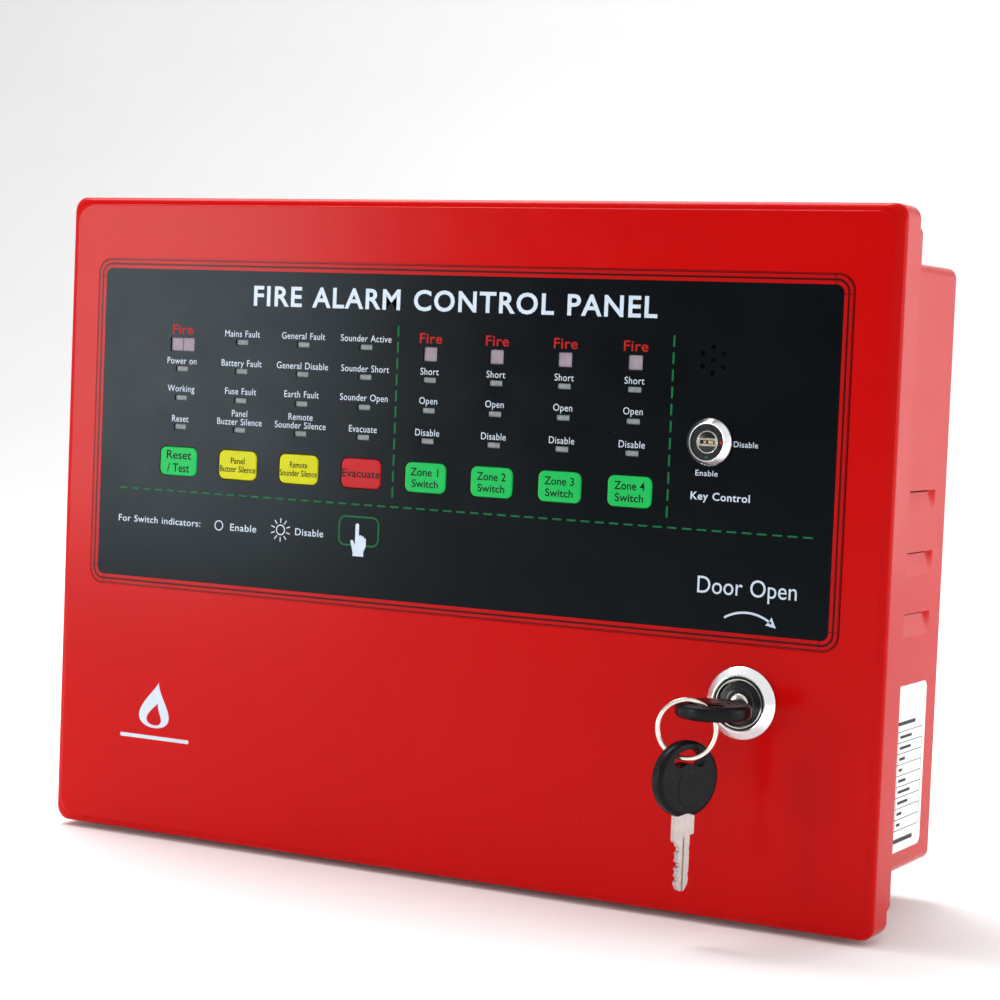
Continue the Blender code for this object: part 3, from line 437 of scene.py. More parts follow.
def door_paints():
    """The door's moulding and film, the inks printed on them, the pads and the lenses."""
    paints = [
        dull("red_abs", (0.47, 0.0018, 0.0015), 0.20)
        .mottle(90, 0.03).fleck(0.9, (0.8, 0.35, 0.33), 0.21).smudge(14, 0.10).grain(1.6, 0.003),
        dull("band", (0.42, 0.003, 0.003), 0.22).mottle(20, 0.06).grain(0.6, 0.003),
        dull("band_line", (0.045, 0.004, 0.004), 0.22).mottle(20, 0.1).grain(0.6, 0.003),
        dull("fascia_black", (0.0022, 0.0027, 0.0036), 0.21, Specular_Tint=(0.80, 1.0, 1.12, 1.0))
        .mottle(40, 0.12).fleck(0.8, (0.10, 0.11, 0.12), 0.21).smudge(18, 0.12).grain(0.55, 0.004),
        Paint("ink_white", (0.50, 0.59, 0.69), 0.4).mottle(3, 0.05).grain(0.4, 0.003),
    ]
    for name, colour, amount in (("ink_red", (0.40, 0.009, 0.008), 0.05),
                                 ("ink_green", (0.004, 0.13, 0.038), 0.06),
                                 ("ink_dark", (0.003, 0.008, 0.004), 0.10)):
        paints.append(dull(name, colour, 0.4).mottle(3, amount).grain(0.4, 0.003))
    for name, colour in (("pad_green", (0.010, 0.42, 0.085)), ("pad_yellow", (0.53, 0.53, 0.006)),
                         ("pad_red", (0.43, 0.014, 0.018))):
        paints.append(dull(name, colour, 0.33).mottle(8, 0.04).smudge(5, 0.12).grain(0.5, 0.005))
    for name, colour, size, amount in (("lens_grey", (0.25, 0.29, 0.29), 2.2, 0.16),
                                       ("lens_fire", (0.30, 0.25, 0.30), 2.6, 0.10)):
        paints.append(dull(name, colour, 0.35).mottle(size, amount).grain(0.5, 0.01))
    return paints


def make_materials():
    """Every material of the panel, by the name of its finish."""
    paints = door_paints() + [
        Paint("chrome", (0.90, 0.91, 0.93), 0.14, 1.0).smudge(3, 0.5).mottle(4, 0.03)
        .grain(2.4, 0.002),
        Paint("nickel_wire", (0.74, 0.70, 0.62), 0.16, 1.0).smudge(2, 0.4).mottle(3, 0.08)
        .grain(0.5, 0.003),
        Paint("key_metal", (0.46, 0.40, 0.38), 0.26, 1.0).mottle(2.5, 0.08)
        .smudge(1.5, 0.35, (1, 1, 0.2)).grain(0.25, 0.006, (1, 1, 0.15)),
        Paint("brass", (0.62, 0.47, 0.22), 0.27, 1.0).mottle(2, 0.15).smudge(2, 0.3)
        .grain(0.4, 0.005),
        Paint("lock_black", (0.010, 0.012, 0.013), 0.2, Specular_IOR_Level=0.35)
        .mottle(3, 0.2).smudge(2, 0.4).grain(1.2, 0.006),
        Paint("key_bow", (0.0045, 0.005, 0.006), 0.30, Specular_IOR_Level=0.12)
        .mottle(6, 0.2).smudge(4, 0.2).grain(0.35, 0.008),
        Paint("zinc_steel", (0.52, 0.53, 0.54), 0.34, 1.0).mottle(5, 0.10).smudge(3, 0.25)
        .grain(0.5, 0.006, (1, 1, 4)),
        Paint("core_steel", (0.20, 0.20, 0.21), 0.45, 0.9).mottle(6, 0.2)
        .grain(0.5, 0.05, (0.02, 1, 0.02)),
        Paint("label_film", (0.78, 0.79, 0.78), 0.38).mottle(12, 0.02).grain(0.5, 0.003),
        Paint("board_mask", (0.008, 0.105, 0.035), 0.32).mottle(9, 0.14).smudge(6, 0.2)
        .grain(0.8, 0.008),
        Paint("black_plastic", (0.014, 0.014, 0.016), 0.42).mottle(6, 0.15).smudge(3, 0.15)
        .grain(0.3, 0.01),
        Paint("battery_case", (0.035, 0.036, 0.040), 0.48).mottle(14, 0.12).grain(0.35, 0.02),
        Paint("terminal_blue", (0.012, 0.11, 0.36), 0.38).mottle(5, 0.08).grain(0.4, 0.01),
        Paint("relay_blue", (0.012, 0.055, 0.22), 0.30).mottle(5, 0.08).grain(0.6, 0.006),
        # Near-black rubber, also used for the dark bars of painted shade in screw slots and
        # capacitor vents
        Paint("rubber", (0.022, 0.022, 0.022), 0.75).mottle(3, 0.2).grain(0.3, 0.03),
        Paint("coil_tape", (0.70, 0.42, 0.05), 0.30).mottle(7, 0.08, (1, 1, 3)).grain(1.0, 0.02),
        Paint("fuse_glass", (0.82, 0.86, 0.86), 0.05, Transmission_Weight=0.8)
        .mottle(3, 0.03).grain(1.0, 0.002),
        Paint("aluminium", (0.60, 0.61, 0.63), 0.36, 1.0).mottle(4, 0.07)
        .grain(0.3, 0.008, (1, 1, 0.05)),
    ]
    return {paint.name: paint.material for paint in paints}


MAT = make_materials()


# ---- Door --------------------------------------------------------------------------------

def door_outline(inset, radius, steps=14):
    """The door's outline drawn in by an inset."""
    return rounded((DOOR_X, DOOR_Z), DOOR_W - 2 * inset, DOOR_H - 2 * inset, radius, steps)


def fascia_outline(inset=0.0, steps=12):
    """The fascia's outline drawn in by an inset."""
    middle = ((FASCIA_LOW.x + FASCIA_HIGH.x) / 2, (FASCIA_LOW.z + FASCIA_HIGH.z) / 2)
    return rounded(middle, FASCIA_HIGH.x - FASCIA_LOW.x - 2 * inset,
                   FASCIA_HIGH.z - FASCIA_LOW.z - 2 * inset, FASCIA_R - inset * 0.8, steps)


def pad_outline(middle, grow=0.0, steps=8):
    return rounded((middle.x, middle.z), PAD_W + 2 * grow, PAD_H + 2 * grow, PAD_R + grow, steps)


def buzzer_holes(radius, sides=24):
    """The seven sound holes: one in the middle and a ring of six."""
    middle = (BUZZER_MIDDLE.x, BUZZER_MIDDLE.z)
    places = [middle] + arc(middle, BUZZER_RING_R, 30, 330, 5)
    return [circle(place, radius, sides) for place in places]


def door_profile():
    """The door's inset and depth steps, from the inner floor round the rim to the face."""
    side = [(0.0, 3.6), (0.08, 2.9), (0.32, 2.1), (0.75, 1.4), (1.3, 0.92), (1.9, 0.64)]
    step = [(2.75, 0.44), (2.95, 0.36), (3.1, 0.16), (3.3, 0.04), (3.55, 0.0)]
    return side + step


def make_door():
    """The door's moulded tray, its openings and its hinge knuckles."""
    inner_y, back_y = FACE_Y + DOOR_WALL, FACE_Y + DOOR_THICK
    mesh = bmesh.new()
    levels = [(door_outline(DOOR_WALL, DOOR_R - 1.5), inner_y),
              (door_outline(DOOR_WALL, DOOR_R - 1.5), back_y - 0.4),
              (door_outline(DOOR_WALL - 0.4, DOOR_R - 1.2), back_y),
              (door_outline(0.4, DOOR_R), back_y), (door_outline(0, DOOR_R), back_y - 0.4)]
    levels += [(door_outline(inset, DOOR_R + inset * 0.7), FACE_Y + depth)
               for inset, depth in door_profile()]
    add_stack(mesh, levels)
    recess = bmesh.new()
    add_prism(recess, fascia_outline(-GAP), FACE_Y - 1, FACE_Y + 0.5)
    mesh = carve(mesh, recess)
    holes = bmesh.new()
    through = (FACE_Y - 2, inner_y + 1)
    for middle in PAD_MIDDLES:
        add_prism(holes, pad_outline(middle, GAP), *through)
        add_box(holes, (middle.x - SLOT_HALF_W, through[0], on_door(0, 34)[1]),
                (middle.x + SLOT_HALF_W, through[1], on_door(0, 75)[1]))
    for middle, radius in ((BUZZER_MIDDLE, BUZZER_BORE_R), (SWITCH_MIDDLE, SWITCH_BORE_R),
                           (LOCK_MIDDLE, LOCK_BORE_R)):
        add_prism(holes, circle((middle.x, middle.z), radius, 48), *through)
    mesh = carve(mesh, holes)
    wide = bmesh.new()
    wide_x, wide_z = PAD_MIDDLES[0].x, on_door(0, FIRE_Z)[1]
    add_box(wide, (wide_x - 6.3, through[0], wide_z - 3.2),
            (wide_x + 6.3, through[1], wide_z + 3.2))
    mesh = carve(mesh, wide)
    for low_z in knuckle_places("door"):
        add_knuckle(mesh, low_z)
    add_door_ribs(mesh, inner_y)
    piece("door_cover", mesh, "red_abs", "door", ["door_shell"])


KNUCKLE_R, KNUCKLE_L = 3.0, 14.0


def knuckle_places(side):
    """The low ends of the knuckles, which share the two hinge pins."""
    lows = []
    for pin in ("hinge_pin_top", "hinge_pin_bottom"):
        low = node_box(pin)[0].z + 0.6
        lows.append(low if side == "box" else low + KNUCKLE_L + GAP)
    return lows


def add_knuckle(mesh, low_z):
    """A bored barrel round a hinge pin."""
    pin = node_middle("hinge_pin_top")
    profile = [(1.55, 0), (KNUCKLE_R - 0.3, 0), (KNUCKLE_R, 0.3), (KNUCKLE_R, KNUCKLE_L - 0.3),
               (KNUCKLE_R - 0.3, KNUCKLE_L), (1.55, KNUCKLE_L)]
    add_turned(mesh, profile, Matrix.Translation((pin.x, pin.y, low_z)), True, 32)


def add_door_ribs(mesh, inner_y):
    """Stiffening ribs, the board's bosses and the webs of the hinge, inside the door."""
    board_low, board_high = node_box("control_board")
    deep = inner_y + 1.4
    for z in (on_door(0, -60)[1], on_door(0, -100)[1]):
        add_box(mesh, (DOOR_LOW.x + 6, inner_y - 0.5, z - 0.7), (LOCK_MIDDLE.x - 20, deep, z + 0.7))
    for x in (-110, -40, 30):
        add_box(mesh, (x - 0.7, inner_y - 0.5, DOOR_LOW.z + 4), (x + 0.7, deep, board_low.z - 4))
    for x in (board_low.x + 6, board_high.x - 6):
        for z in (board_low.z + 4, board_high.z - 5):
            add_turned(mesh, [(3.4, 0.5), (3.2, -6.0), (2.9, -6.9)],
                       facing(OUT, (x, inner_y, z)), False, 32)
    pin = node_middle("hinge_pin_top")
    for low_z in knuckle_places("door"):
        add_box(mesh, (DOOR_LOW.x + 0.4, FACE_Y + DOOR_THICK - 1, low_z),
                (DOOR_LOW.x + DOOR_WALL, pin.y, low_z + KNUCKLE_L))


make_door()


# ---- Fascia ------------------------------------------------------------------------------

FIRE_COLUMNS = (0, 4, 5, 6, 7)


def column_x(index):
    return PAD_MIDDLES[0].x + PITCH * index


def windows():
    """Each indicator window as its middle, width, height and lens."""
    places = []
    for column in range(8):
        x, rows = column_x(column), ROW_ZS
        if column in FIRE_COLUMNS:
            width = 2 * WINDOW_W if column == 0 else FIRE_W
            places.append(((x, on_door(0, FIRE_Z)[1]), width, FIRE_H, "lens_fire"))
            rows = ROW_ZS[1:]
        places += [((x, on_door(0, z)[1]), WINDOW_W, WINDOW_H, "lens_grey") for z in rows]
    return places


def fascia_holes():
    """The fascia's openings: pads, key switch, buzzer holes and windows."""
    holes = [pad_outline(middle, GAP) for middle in PAD_MIDDLES]
    holes.append(circle((SWITCH_MIDDLE.x, SWITCH_MIDDLE.z), SWITCH_BORE_R))
    holes += buzzer_holes(BUZZER_HOLE_R)
    holes += [rounded(middle, width, height, 0.25, 3) for middle, width, height, _ in windows()]
    return holes


def make_fascia():
    """The black film in its recess, and its printed red border with fine lines."""
    film = bmesh.new()
    add_plate(film, [fascia_outline()] + fascia_holes(), FASCIA_Y, FASCIA_HIGH.y)
    piece("fascia_film", film, "fascia_black", "door", ["fascia_overlay"])
    band = bmesh.new()
    add_plate(band, [fascia_outline(0.03), fascia_outline(FASCIA_BORDER)],
              FASCIA_Y - INK, FASCIA_Y + INK)
    piece("fascia_band", band, "band", "door")
    lines = bmesh.new()
    for outer, inner in ((0.15, 0.48), (1.62, 2.40)):
        add_plate(lines, [fascia_outline(outer), fascia_outline(inner)],
                  FASCIA_Y - 2 * INK, FASCIA_Y + INK)
    add_corner_ticks(lines)
    piece("fascia_lines", lines, "band_line", "door")


def add_corner_ticks(mesh):
    """Short lines across the border where each round corner begins and ends."""
    half, width = FASCIA_R + 1.0, 0.16
    start, end = 0.45, FASCIA_BORDER
    front, back = FASCIA_Y - 2 * INK, FASCIA_Y + INK
    for x, way in ((FASCIA_LOW.x, 1), (FASCIA_HIGH.x, -1)):
        for z, rise in ((FASCIA_LOW.z, 1), (FASCIA_HIGH.z, -1)):
            for near, far in ((start, 1.62), (2.40, end)):
                corner_x, corner_z = x + way * half, z + rise * half
                add_box(mesh, (corner_x - width, front, z + rise * near),
                        (corner_x + width, back, z + rise * far))
                add_box(mesh, (x + way * near, front, corner_z - width),
                        (x + way * far, back, corner_z + width))


LENS_DEEP = 0.7           # how far a lens sits behind the film's front


def make_windows():
    """Dark light guides behind the film, with a frosted lens at the bottom of each pocket."""
    lenses = {"lens_grey": bmesh.new(), "lens_fire": bmesh.new()}
    front, lens_y = FASCIA_HIGH.y + 0.1, FASCIA_Y + LENS_DEEP
    back = FACE_Y + DOOR_WALL - 0.2
    guides = bmesh.new()
    for middle, width, height, lens in windows():
        wide, high = width + 0.4, height + 1.2
        add_plate(guides, [rounded(middle, wide, high, 0.3, 3),
                           rounded(middle, width - 0.1, height - 0.1, 0.3, 3)], front, lens_y)
        add_plate(guides, [rounded(middle, wide, high, 0.3, 3)], lens_y + 0.5, back)
        panes = [(middle, width)]
        if width > 2 * FIRE_W - 1:
            panes = [((middle[0] + side * width / 4, middle[1]), width / 2 - 0.15)
                     for side in (-1, 1)]
        for pane, pane_w in panes:
            shape = [(rounded(pane, pane_w + 0.1 - inset, height - inset, 0.3, 3), lens_y + depth)
                     for inset, depth in ((0.7, 0.0), (0.3, 0.12), (0.1, 0.35), (0.1, 0.49))]
            add_stack(lenses[lens], shape)
    piece("window_guides", guides, "black_plastic", "door")
    for lens, mesh in lenses.items():
        piece("windows_" + lens, mesh, lens, "door")


# Labels above the windows, a | starts a second line
FIRE_LABELS = ("Fire", "Short", "Open", "Disable")
COLUMN_LABELS = (("Fire", "Power on", "Working", "Reset"),
                 ("Mains Fault", "Battery Fault", "Fuse Fault", "Panel|Buzzer Silence"),
                 ("General Fault", "General Disable", "Earth Fault", "Remote|Sounder Silence"),
                 ("Sounder Active", "Sounder Short", "Sounder Open", "Evacuate"),
                 FIRE_LABELS, FIRE_LABELS, FIRE_LABELS, FIRE_LABELS)
LABEL_ZS = (75.1, 63.5, 52.4, 40.35)
LABEL_CAPITAL, LABEL_LINE = 2.55, 3.3
WORDS_STRETCH = 0.92
TITLE, TITLE_W, TITLE_CAPITAL, TITLE_Z = "FIRE ALARM CONTROL PANEL", 175.0, 7.4, 90.2


def add_label(mesh, text, x, z, front):
    """A window's label; two lines stand on the place of the last."""
    lines = text.split("|")
    for row, line in enumerate(reversed(lines)):
        add_letters(mesh, line, (x, z + row * LABEL_LINE), LABEL_CAPITAL, front,
                    0.0, stretch=WORDS_STRETCH, spacing=1.06)


def make_legends():
    """The printed words and signs of the fascia."""
    front = FASCIA_Y
    white, red = bmesh.new(), bmesh.new()
    add_letters(white, TITLE, on_door(-0.9, TITLE_Z), TITLE_CAPITAL, front, 0.021, TITLE_W,
                spacing=1.12)
    for column, labels in enumerate(COLUMN_LABELS):
        for label, z in zip(labels, LABEL_ZS):
            place = column_x(column), on_door(0, z)[1]
            if label == "Fire":
                add_letters(red, label, (place[0], on_door(0, 76.0)[1]), 3.7, front, 0.012, 9.8,
                            spacing=1.06)
            else:
                add_label(white, label, *place, front)
    for text, x, z, capital, width in (("Disable", 123.7, 42.5, 2.0, 9.3),
                                       ("Enable", 109.0, 31.6, 2.0, 8.7),
                                       ("For Switch indicators:", -130.2, -1.1, 2.6, 40.4),
                                       ("Enable", -89.4, -1.5, 2.7, 12.5),
                                       ("Disable", -58.4, -1.2, 2.7, 13.0)):
        add_letters(white, text, on_door(x, z), capital, front, 0.004, width, spacing=1.07)
    add_letters(white, "Key Control", on_door(114.7, 23.4), 2.7, front, 0.016, 23.0,
                spacing=1.08)
    add_letters(white, "Door Open", on_door(126.5, -8.2), 6.0, front, 0.0, 38.2)
    add_switch_signs(white, front)
    add_open_arrow(white, front)
    piece("legends_white", white, "ink_white", "door")
    piece("legends_red", red, "ink_red", "door")
    make_hand(front)
    make_green_lines(front)


def add_flat(mesh, outlines, front, thick=INK):
    """A layer of print lying on a front plane."""
    add_plate(mesh, outlines, front - thick, front + INK)


def add_switch_signs(mesh, front):
    """The open circle for enabled and the shining one for disabled."""
    line, rays = 0.42, 10
    off, shining = on_door(-101.0, -1.2), on_door(-71.7, -1.0)
    add_flat(mesh, [circle(off, 2.05, 40), circle(off, 2.05 - line, 40)], front)
    add_flat(mesh, [circle(shining, 2.1, 40), circle(shining, 2.1 - line, 40)], front)
    for i in range(rays):
        turn = 2 * pi * i / rays + pi / 2
        along, across = Vector((cos(turn), sin(turn))), Vector((-sin(turn), cos(turn))) * line / 2
        centre = Vector(shining)
        ends = (centre + along * 2.8, centre + along * 4.6)
        add_flat(mesh, [[tuple(ends[0] - across), tuple(ends[1] - across),
                         tuple(ends[1] + across), tuple(ends[0] + across)]], front)


def add_open_arrow(mesh, front):
    """The curved arrow that shows which way the door opens."""
    centre, radius, half = on_door(126.9, -33.5), 16.5, 0.40
    band = arc(centre, radius + half, 121, 54, 24) + arc(centre, radius - half, 54, 121, 24)
    add_flat(mesh, [band], front)
    tip, base = on_circle(centre, radius, 46), on_circle(centre, radius, 59)
    along = (Vector(tip) - Vector(base)).normalized()
    across = Vector((-along.y, along.x)) * 1.9
    head = [tip, tuple(Vector(base) + across), tuple(Vector(base) + along * 0.3),
            tuple(Vector(base) - across)]
    add_flat(mesh, [head], front)


def make_hand(front):
    """A pointing hand, drawn from its fingertip down."""
    x, z = on_door(-36.4, 3.9)
    outline = arc((0, -0.8), 0.8, 180, 0, 8) + [(0.8, -4.9)]
    for knuckle_x, knuckle_z in ((1.5, -5.0), (2.6, -5.4), (3.5, -6.1)):
        outline += arc((knuckle_x, knuckle_z), 0.58, 155, 15, 4)
    outline += [(4.1, -8.6), (3.1, -10.8), (3.1, -12.7), (-1.7, -12.7), (-1.7, -11.2)]
    outline += arc((-2.2, -7.2), 0.7, 215, 60, 5) + [(-0.8, -8.4)]
    hand = bmesh.new()
    add_flat(hand, [[(x + u, z + v) for u, v in outline]], front, 2 * INK)
    piece("legend_hand", hand, "ink_white", "door")


def make_green_lines(front):
    """The dashed lines that divide the fascia, and the frame round the hand."""
    mesh = bmesh.new()
    dash, pitch, thick = 4.2, 6.15, 0.37
    for x in (-21.3, 94.15):
        for i in range(11):
            top = 80.4 - pitch * i
            add_flat(mesh, [rounded(on_door(x, top - dash / 2), 2 * thick, dash, 0.15, 2)], front)
    dash, pitch = 3.7, 5.83
    for i in range(52):
        left = -150.3 + pitch * i
        add_flat(mesh, [rounded(on_door(left + dash / 2, 11.2), dash, 1.7 * thick, 0.15, 2)], front)
    middle = on_door(-35.75, 0.9)
    add_flat(mesh, [rounded(middle, 18.3, 11.6, 3.0), rounded(middle, 17.1, 10.4, 2.4)], front)
    piece("legends_green", mesh, "ink_green", "door")


def make_emblem():
    """A plain flame sign with a rule under it, low on the left of the door."""
    mesh = bmesh.new()
    x, z = on_door(-129.3, -76.0)
    flames = []
    for wide, high, drop in ((7.4, 9.4, 0.0), (3.6, 4.7, -3.6)):
        outline = []
        for i in range(48):
            turn = 2 * pi * i / 48 + pi / 2
            rise = (sin(turn) + 1) / 2
            u = wide * cos(turn) * (1 - sin(turn)) / 1.3 + 1.6 * rise * rise - 0.8 * sin(pi * rise)
            outline.append((x + u, z + high * sin(turn) + drop))
        flames.append(outline)
    add_flat(mesh, flames, FACE_Y)
    add_flat(mesh, [rounded((x, z - 13.4), 34.0, 1.5, 0.6, 4)], FACE_Y)
    piece("door_emblem", mesh, "ink_white", "door")


make_fascia()
make_windows()
make_legends()
make_emblem()


# ---- Key pads ----------------------------------------------------------------------------

PAD_FINISHES = ("pad_green", "pad_yellow", "pad_yellow", "pad_red") + ("pad_green",) * 4
PAD_FACE_Y = node_box("button_reset")[0].y


def pad_words(index):
    """A pad's lines of print: text, rise from the pad's middle, capital height, width."""
    if index >= 4:
        return (("Zone %d" % (index - 3), 2.1, 2.9, 12.3), ("Switch", -2.3, 2.8, 11.5))
    return ((("Reset", 2.6, 3.3, 12.0), ("/ Test", -2.6, 3.3, 10.8)),
            (("Panel", 1.7, 2.35, 6.6), ("Buzzer Silence", -1.6, 2.35, 17.0)),
            (("Remote", 1.7, 2.35, 8.2), ("Sounder Silence", -1.6, 2.35, 17.2)),
            (("Evacuate", 0.0, 3.0, 17.2),))[index]


def make_pads():
    """The eight embossed pads, each with its print, flange and plunger."""
    inner_y = FACE_Y + DOOR_WALL + GAP
    for name, middle, finish in zip(PADS, PAD_MIDDLES, PAD_FINISHES):
        stem = rounded((middle.x, middle.z), 3.2, 3.2, 0.9, 8)
        mesh = bmesh.new()
        front = [(pad_outline(middle, -inset), PAD_FACE_Y + depth)
                 for inset, depth in ((0.75, 0.0), (0.45, 0.03), (0.2, 0.12), (0.05, 0.27),
                                      (0.0, 0.45))]
        add_stack(mesh, front + [(pad_outline(middle), inner_y), (pad_outline(middle, 1.0), inner_y),
                                 (pad_outline(middle, 1.0), inner_y + 1.0), (stem, inner_y + 1.0),
                                 (stem, node_box(name)[1].y)])
        piece(name + "_cap", mesh, finish, name, [name])
        print_mesh = bmesh.new()
        for text, rise, capital, width in pad_words(PADS.index(name)):
            add_letters(print_mesh, text, (middle.x, middle.z + rise), capital, PAD_FACE_Y,
                        0.012, width)
        piece(name + "_print", print_mesh, "ink_dark", name)


make_pads()


# ---- Key switch --------------------------------------------------------------------------

def make_key_switch():
    """Conical chrome bezel, black dial with its two dots, and the slotted plug."""
    x, z = SWITCH_MIDDLE.x, SWITCH_MIDDLE.z
    seat = FASCIA_Y - GAP
    place = facing(OUT, (x, seat, z))
    body = [(4.45, 1.0), (6.4, 1.0), (6.44, 2.6), (6.56, 2.8), (6.8, 2.84), (7.05, 2.7),
            (8.4, 0.9), (8.66, 0.55), (8.75, 0.2), (8.75, 0), (6.0, 0)]
    body += threads(6.0, 5.7, -1.0, -12.6, 0.8) + [(5.4, -13.0), (4.45, -13.0)]
    add_and_place("key_switch_bezel", body, place, "chrome", "door", ["key_switch_body"])
    dial = [(4.15, 1.05), (6.36, 1.05), (6.36, 2.1), (6.24, 2.2), (4.25, 2.2), (4.15, 2.1)]
    add_and_place("key_switch_dial", dial, place, "lock_black", "door")
    ring = [(3.6, 1.05), (4.12, 1.05), (4.12, 2.45), (4.02, 2.58), (3.7, 2.58), (3.6, 2.45)]
    add_and_place("key_switch_ring", ring, place, "nickel_wire", "door")
    for name, finish, across, up in (("key_switch_dot_disable", "ink_red", 5.4, 0),
                                     ("key_switch_dot_enable", "ink_green", 0, -5.4)):
        dot = bmesh.new()
        profile = [(0.62, -0.1), (0.62, 0.06), (0.5, 0.16), (0.25, 0.2)]
        add_turned(dot, profile, facing(OUT, (x + across, seat - 2.2, z + up)), False, 24)
        piece(name, dot, finish, "door")
    mesh = bmesh.new()
    plug = [(1.2, 2.4), (3.0, 2.34), (3.35, 2.2), (3.5, 1.95), (3.5, 0.85), (4.1, 0.85),
            (4.1, -16.0), (1.6, -16.0), (1.6, -25.0)]
    add_turned(mesh, plug, place, False, 48)
    slot = bmesh.new()
    add_box(slot, (x - 3.95, seat - 8, z - 1.48), (x + 3.95, seat - 0.2, z + 1.48))
    mesh = carve(mesh, slot)
    piece("key_switch_rotor", mesh, "lock_black", "key_switch_plug", ["key_switch_plug"])
    frame_mesh = bmesh.new()
    add_plate(frame_mesh, [rounded((x, z), 7.8, 2.9, 0.3, 4), rounded((x, z), 5.7, 1.3, 0.15, 3)],
              seat - 2.2, seat - 0.25)
    piece("key_switch_keyway", frame_mesh, "nickel_wire", "key_switch_plug", bevel=0.08)
    wafers = bmesh.new()
    for across, height in ((-1.6, 0.9), (0.2, 0.5), (1.3, 1.1)):
        add_plate(wafers, [rounded((x + across, z - 0.05), 1.0, 0.9, 0.15, 3)],
                  seat - height, seat - 0.22)
    piece("key_switch_wafers", wafers, "brass", "key_switch_plug", bevel=0.05)


def threads(outer, inner, start, end, pitch):
    """The ridges of a fine thread between two heights, as profile points."""
    count = int(abs(start - end) / pitch)
    step = (end - start) / count
    points = []
    for i in range(count):
        height = start + step * i
        points += [(outer, height), (outer, height + step * 0.2), (inner, height + step * 0.6)]
    return points + [(outer - 0.1, end)]


def add_and_place(name, profile, place, finish, body, replaces=()):
    """A ring turned from a closed profile, as a finished piece."""
    mesh = bmesh.new()
    add_turned(mesh, profile, place, True)
    piece(name, mesh, finish, body, replaces)


def make_nut(name, place, bore, across_corners, start, thick, body):
    """A chamfered hexagon nut on a barrel."""
    mesh = bmesh.new()
    hexagon = circle((0, 0), across_corners, 6)
    chamfered = [(u * 0.965, v * 0.965) for u, v in hexagon]
    add_stack(mesh, [(chamfered, start), (hexagon, start - 0.5), (hexagon, start - thick + 0.5),
                     (chamfered, start - thick)], axes_z)
    hole = bmesh.new()
    add_prism(hole, circle((0, 0), bore, 48), start + 1, start - thick - 1, axes_z)
    mesh = carve(mesh, hole)
    bmesh.ops.transform(mesh, matrix=place, verts=mesh.verts)
    piece(name + "_hex", mesh, "zinc_steel", body, [name], bevel=0.15)


make_key_switch()


# ---- Cam lock ----------------------------------------------------------------------------

SLOT_W, SLOT_T = 5.9, 2.5    # keyway of the cam lock


def make_lock():
    """Chrome bezel over a threaded barrel, black collar, and the plug that the key turns."""
    x, z = LOCK_MIDDLE.x, LOCK_MIDDLE.z
    place = facing(OUT, (x, LOCK_SEAT_Y, z))
    body = [(8.35, 0.9), (9.64, 0.9), (9.64, 2.72), (9.78, 2.93), (10.05, 3.0), (10.4, 2.9),
            (12.75, 0.98), (13.12, 0.66), (13.3, 0.3), (13.3, 0.0), (9.1, 0.0)]
    body += threads(9.1, 8.7, -3.6, -17.4, 1.0) + [(8.6, -18.0), (6.0, -18.0), (6.0, -3.6),
                                                   (8.35, -3.6)]
    add_and_place("lock_bezel", body, place, "chrome", "door", ["lock_body"])
    collar = [(8.92, 0.95), (9.6, 0.95), (9.6, 2.35), (9.45, 2.5), (9.0, 2.5), (8.92, 2.4)]
    add_and_place("lock_collar", collar, place, "lock_black", "door")
    ring = [(8.42, 0.95), (8.88, 0.95), (8.88, 2.62), (8.78, 2.74), (8.52, 2.74), (8.42, 2.62)]
    add_and_place("lock_ring", ring, place, "nickel_wire", "door")
    back = node_box("lock_plug")[1].y - LOCK_SEAT_Y
    plug = [(3.66, 2.2), (3.7, 2.5), (4.9, 2.5), (5.35, 2.35), (5.6, 2.0), (5.9, 1.85),
            (7.4, 1.8), (7.8, 1.65), (8.0, 1.3), (8.0, -3.3), (5.65, -3.3), (5.65, -19.0),
            (3.0, -19.0), (3.0, -back), (2.6, -back)]
    mesh = bmesh.new()
    add_turned(mesh, plug, place, False)
    mesh = carve(mesh, keyway_cutter(x, z))
    piece("lock_rotor", mesh, "lock_black", "lock_plug", ["lock_plug"])
    insert = bmesh.new()
    add_turned(insert, [(1.0, 3.05), (2.6, 2.98), (3.3, 2.75), (3.62, 2.4), (3.62, 0.4)],
               place, False, 48)
    insert = carve(insert, keyway_cutter(x, z))
    piece("lock_keyway", insert, "nickel_wire", "lock_plug")


def keyway_cutter(x, z):
    cutter = bmesh.new()
    add_box(cutter, (x - SLOT_W / 2, LOCK_SEAT_Y - 6, z - SLOT_T / 2),
            (x + SLOT_W / 2, LOCK_SEAT_Y + 18, z + SLOT_T / 2))
    return cutter


make_lock()
for nut, bore, radius, barrel in (("lock_nut", 9.25, 12.5, LOCK_MIDDLE),
                                  ("key_switch_nut", 6.15, 8.6, SWITCH_MIDDLE)):
    nut_low, nut_high = node_box(nut)
    make_nut(nut, facing(OUT, (barrel.x, nut_low.y, barrel.z)), bore, radius, 0,
             nut_high.y - nut_low.y, "door")


# ---- Keys --------------------------------------------------------------------------------
# In a key's own frame the blade runs down -Z and the flat faces point along Y.

BOW_R, BOW_THICK, BOW_EDGE = 13.4, 5.4, 1.9
RING_HOLE_R, RING_HOLE_HALF, RING_HOLE_ANGLE = 8.0, 2.5, 34.0
KEY_THICK, SHOULDER_W, BLADE_W = 2.0, 8.6, 5.2
SHOULDER_LOW, TIP_LOW = -22.0, -39.2
SPARE_AZIMUTH, RING_AZIMUTH = 64.0, 15.0
RING_R = 10.2


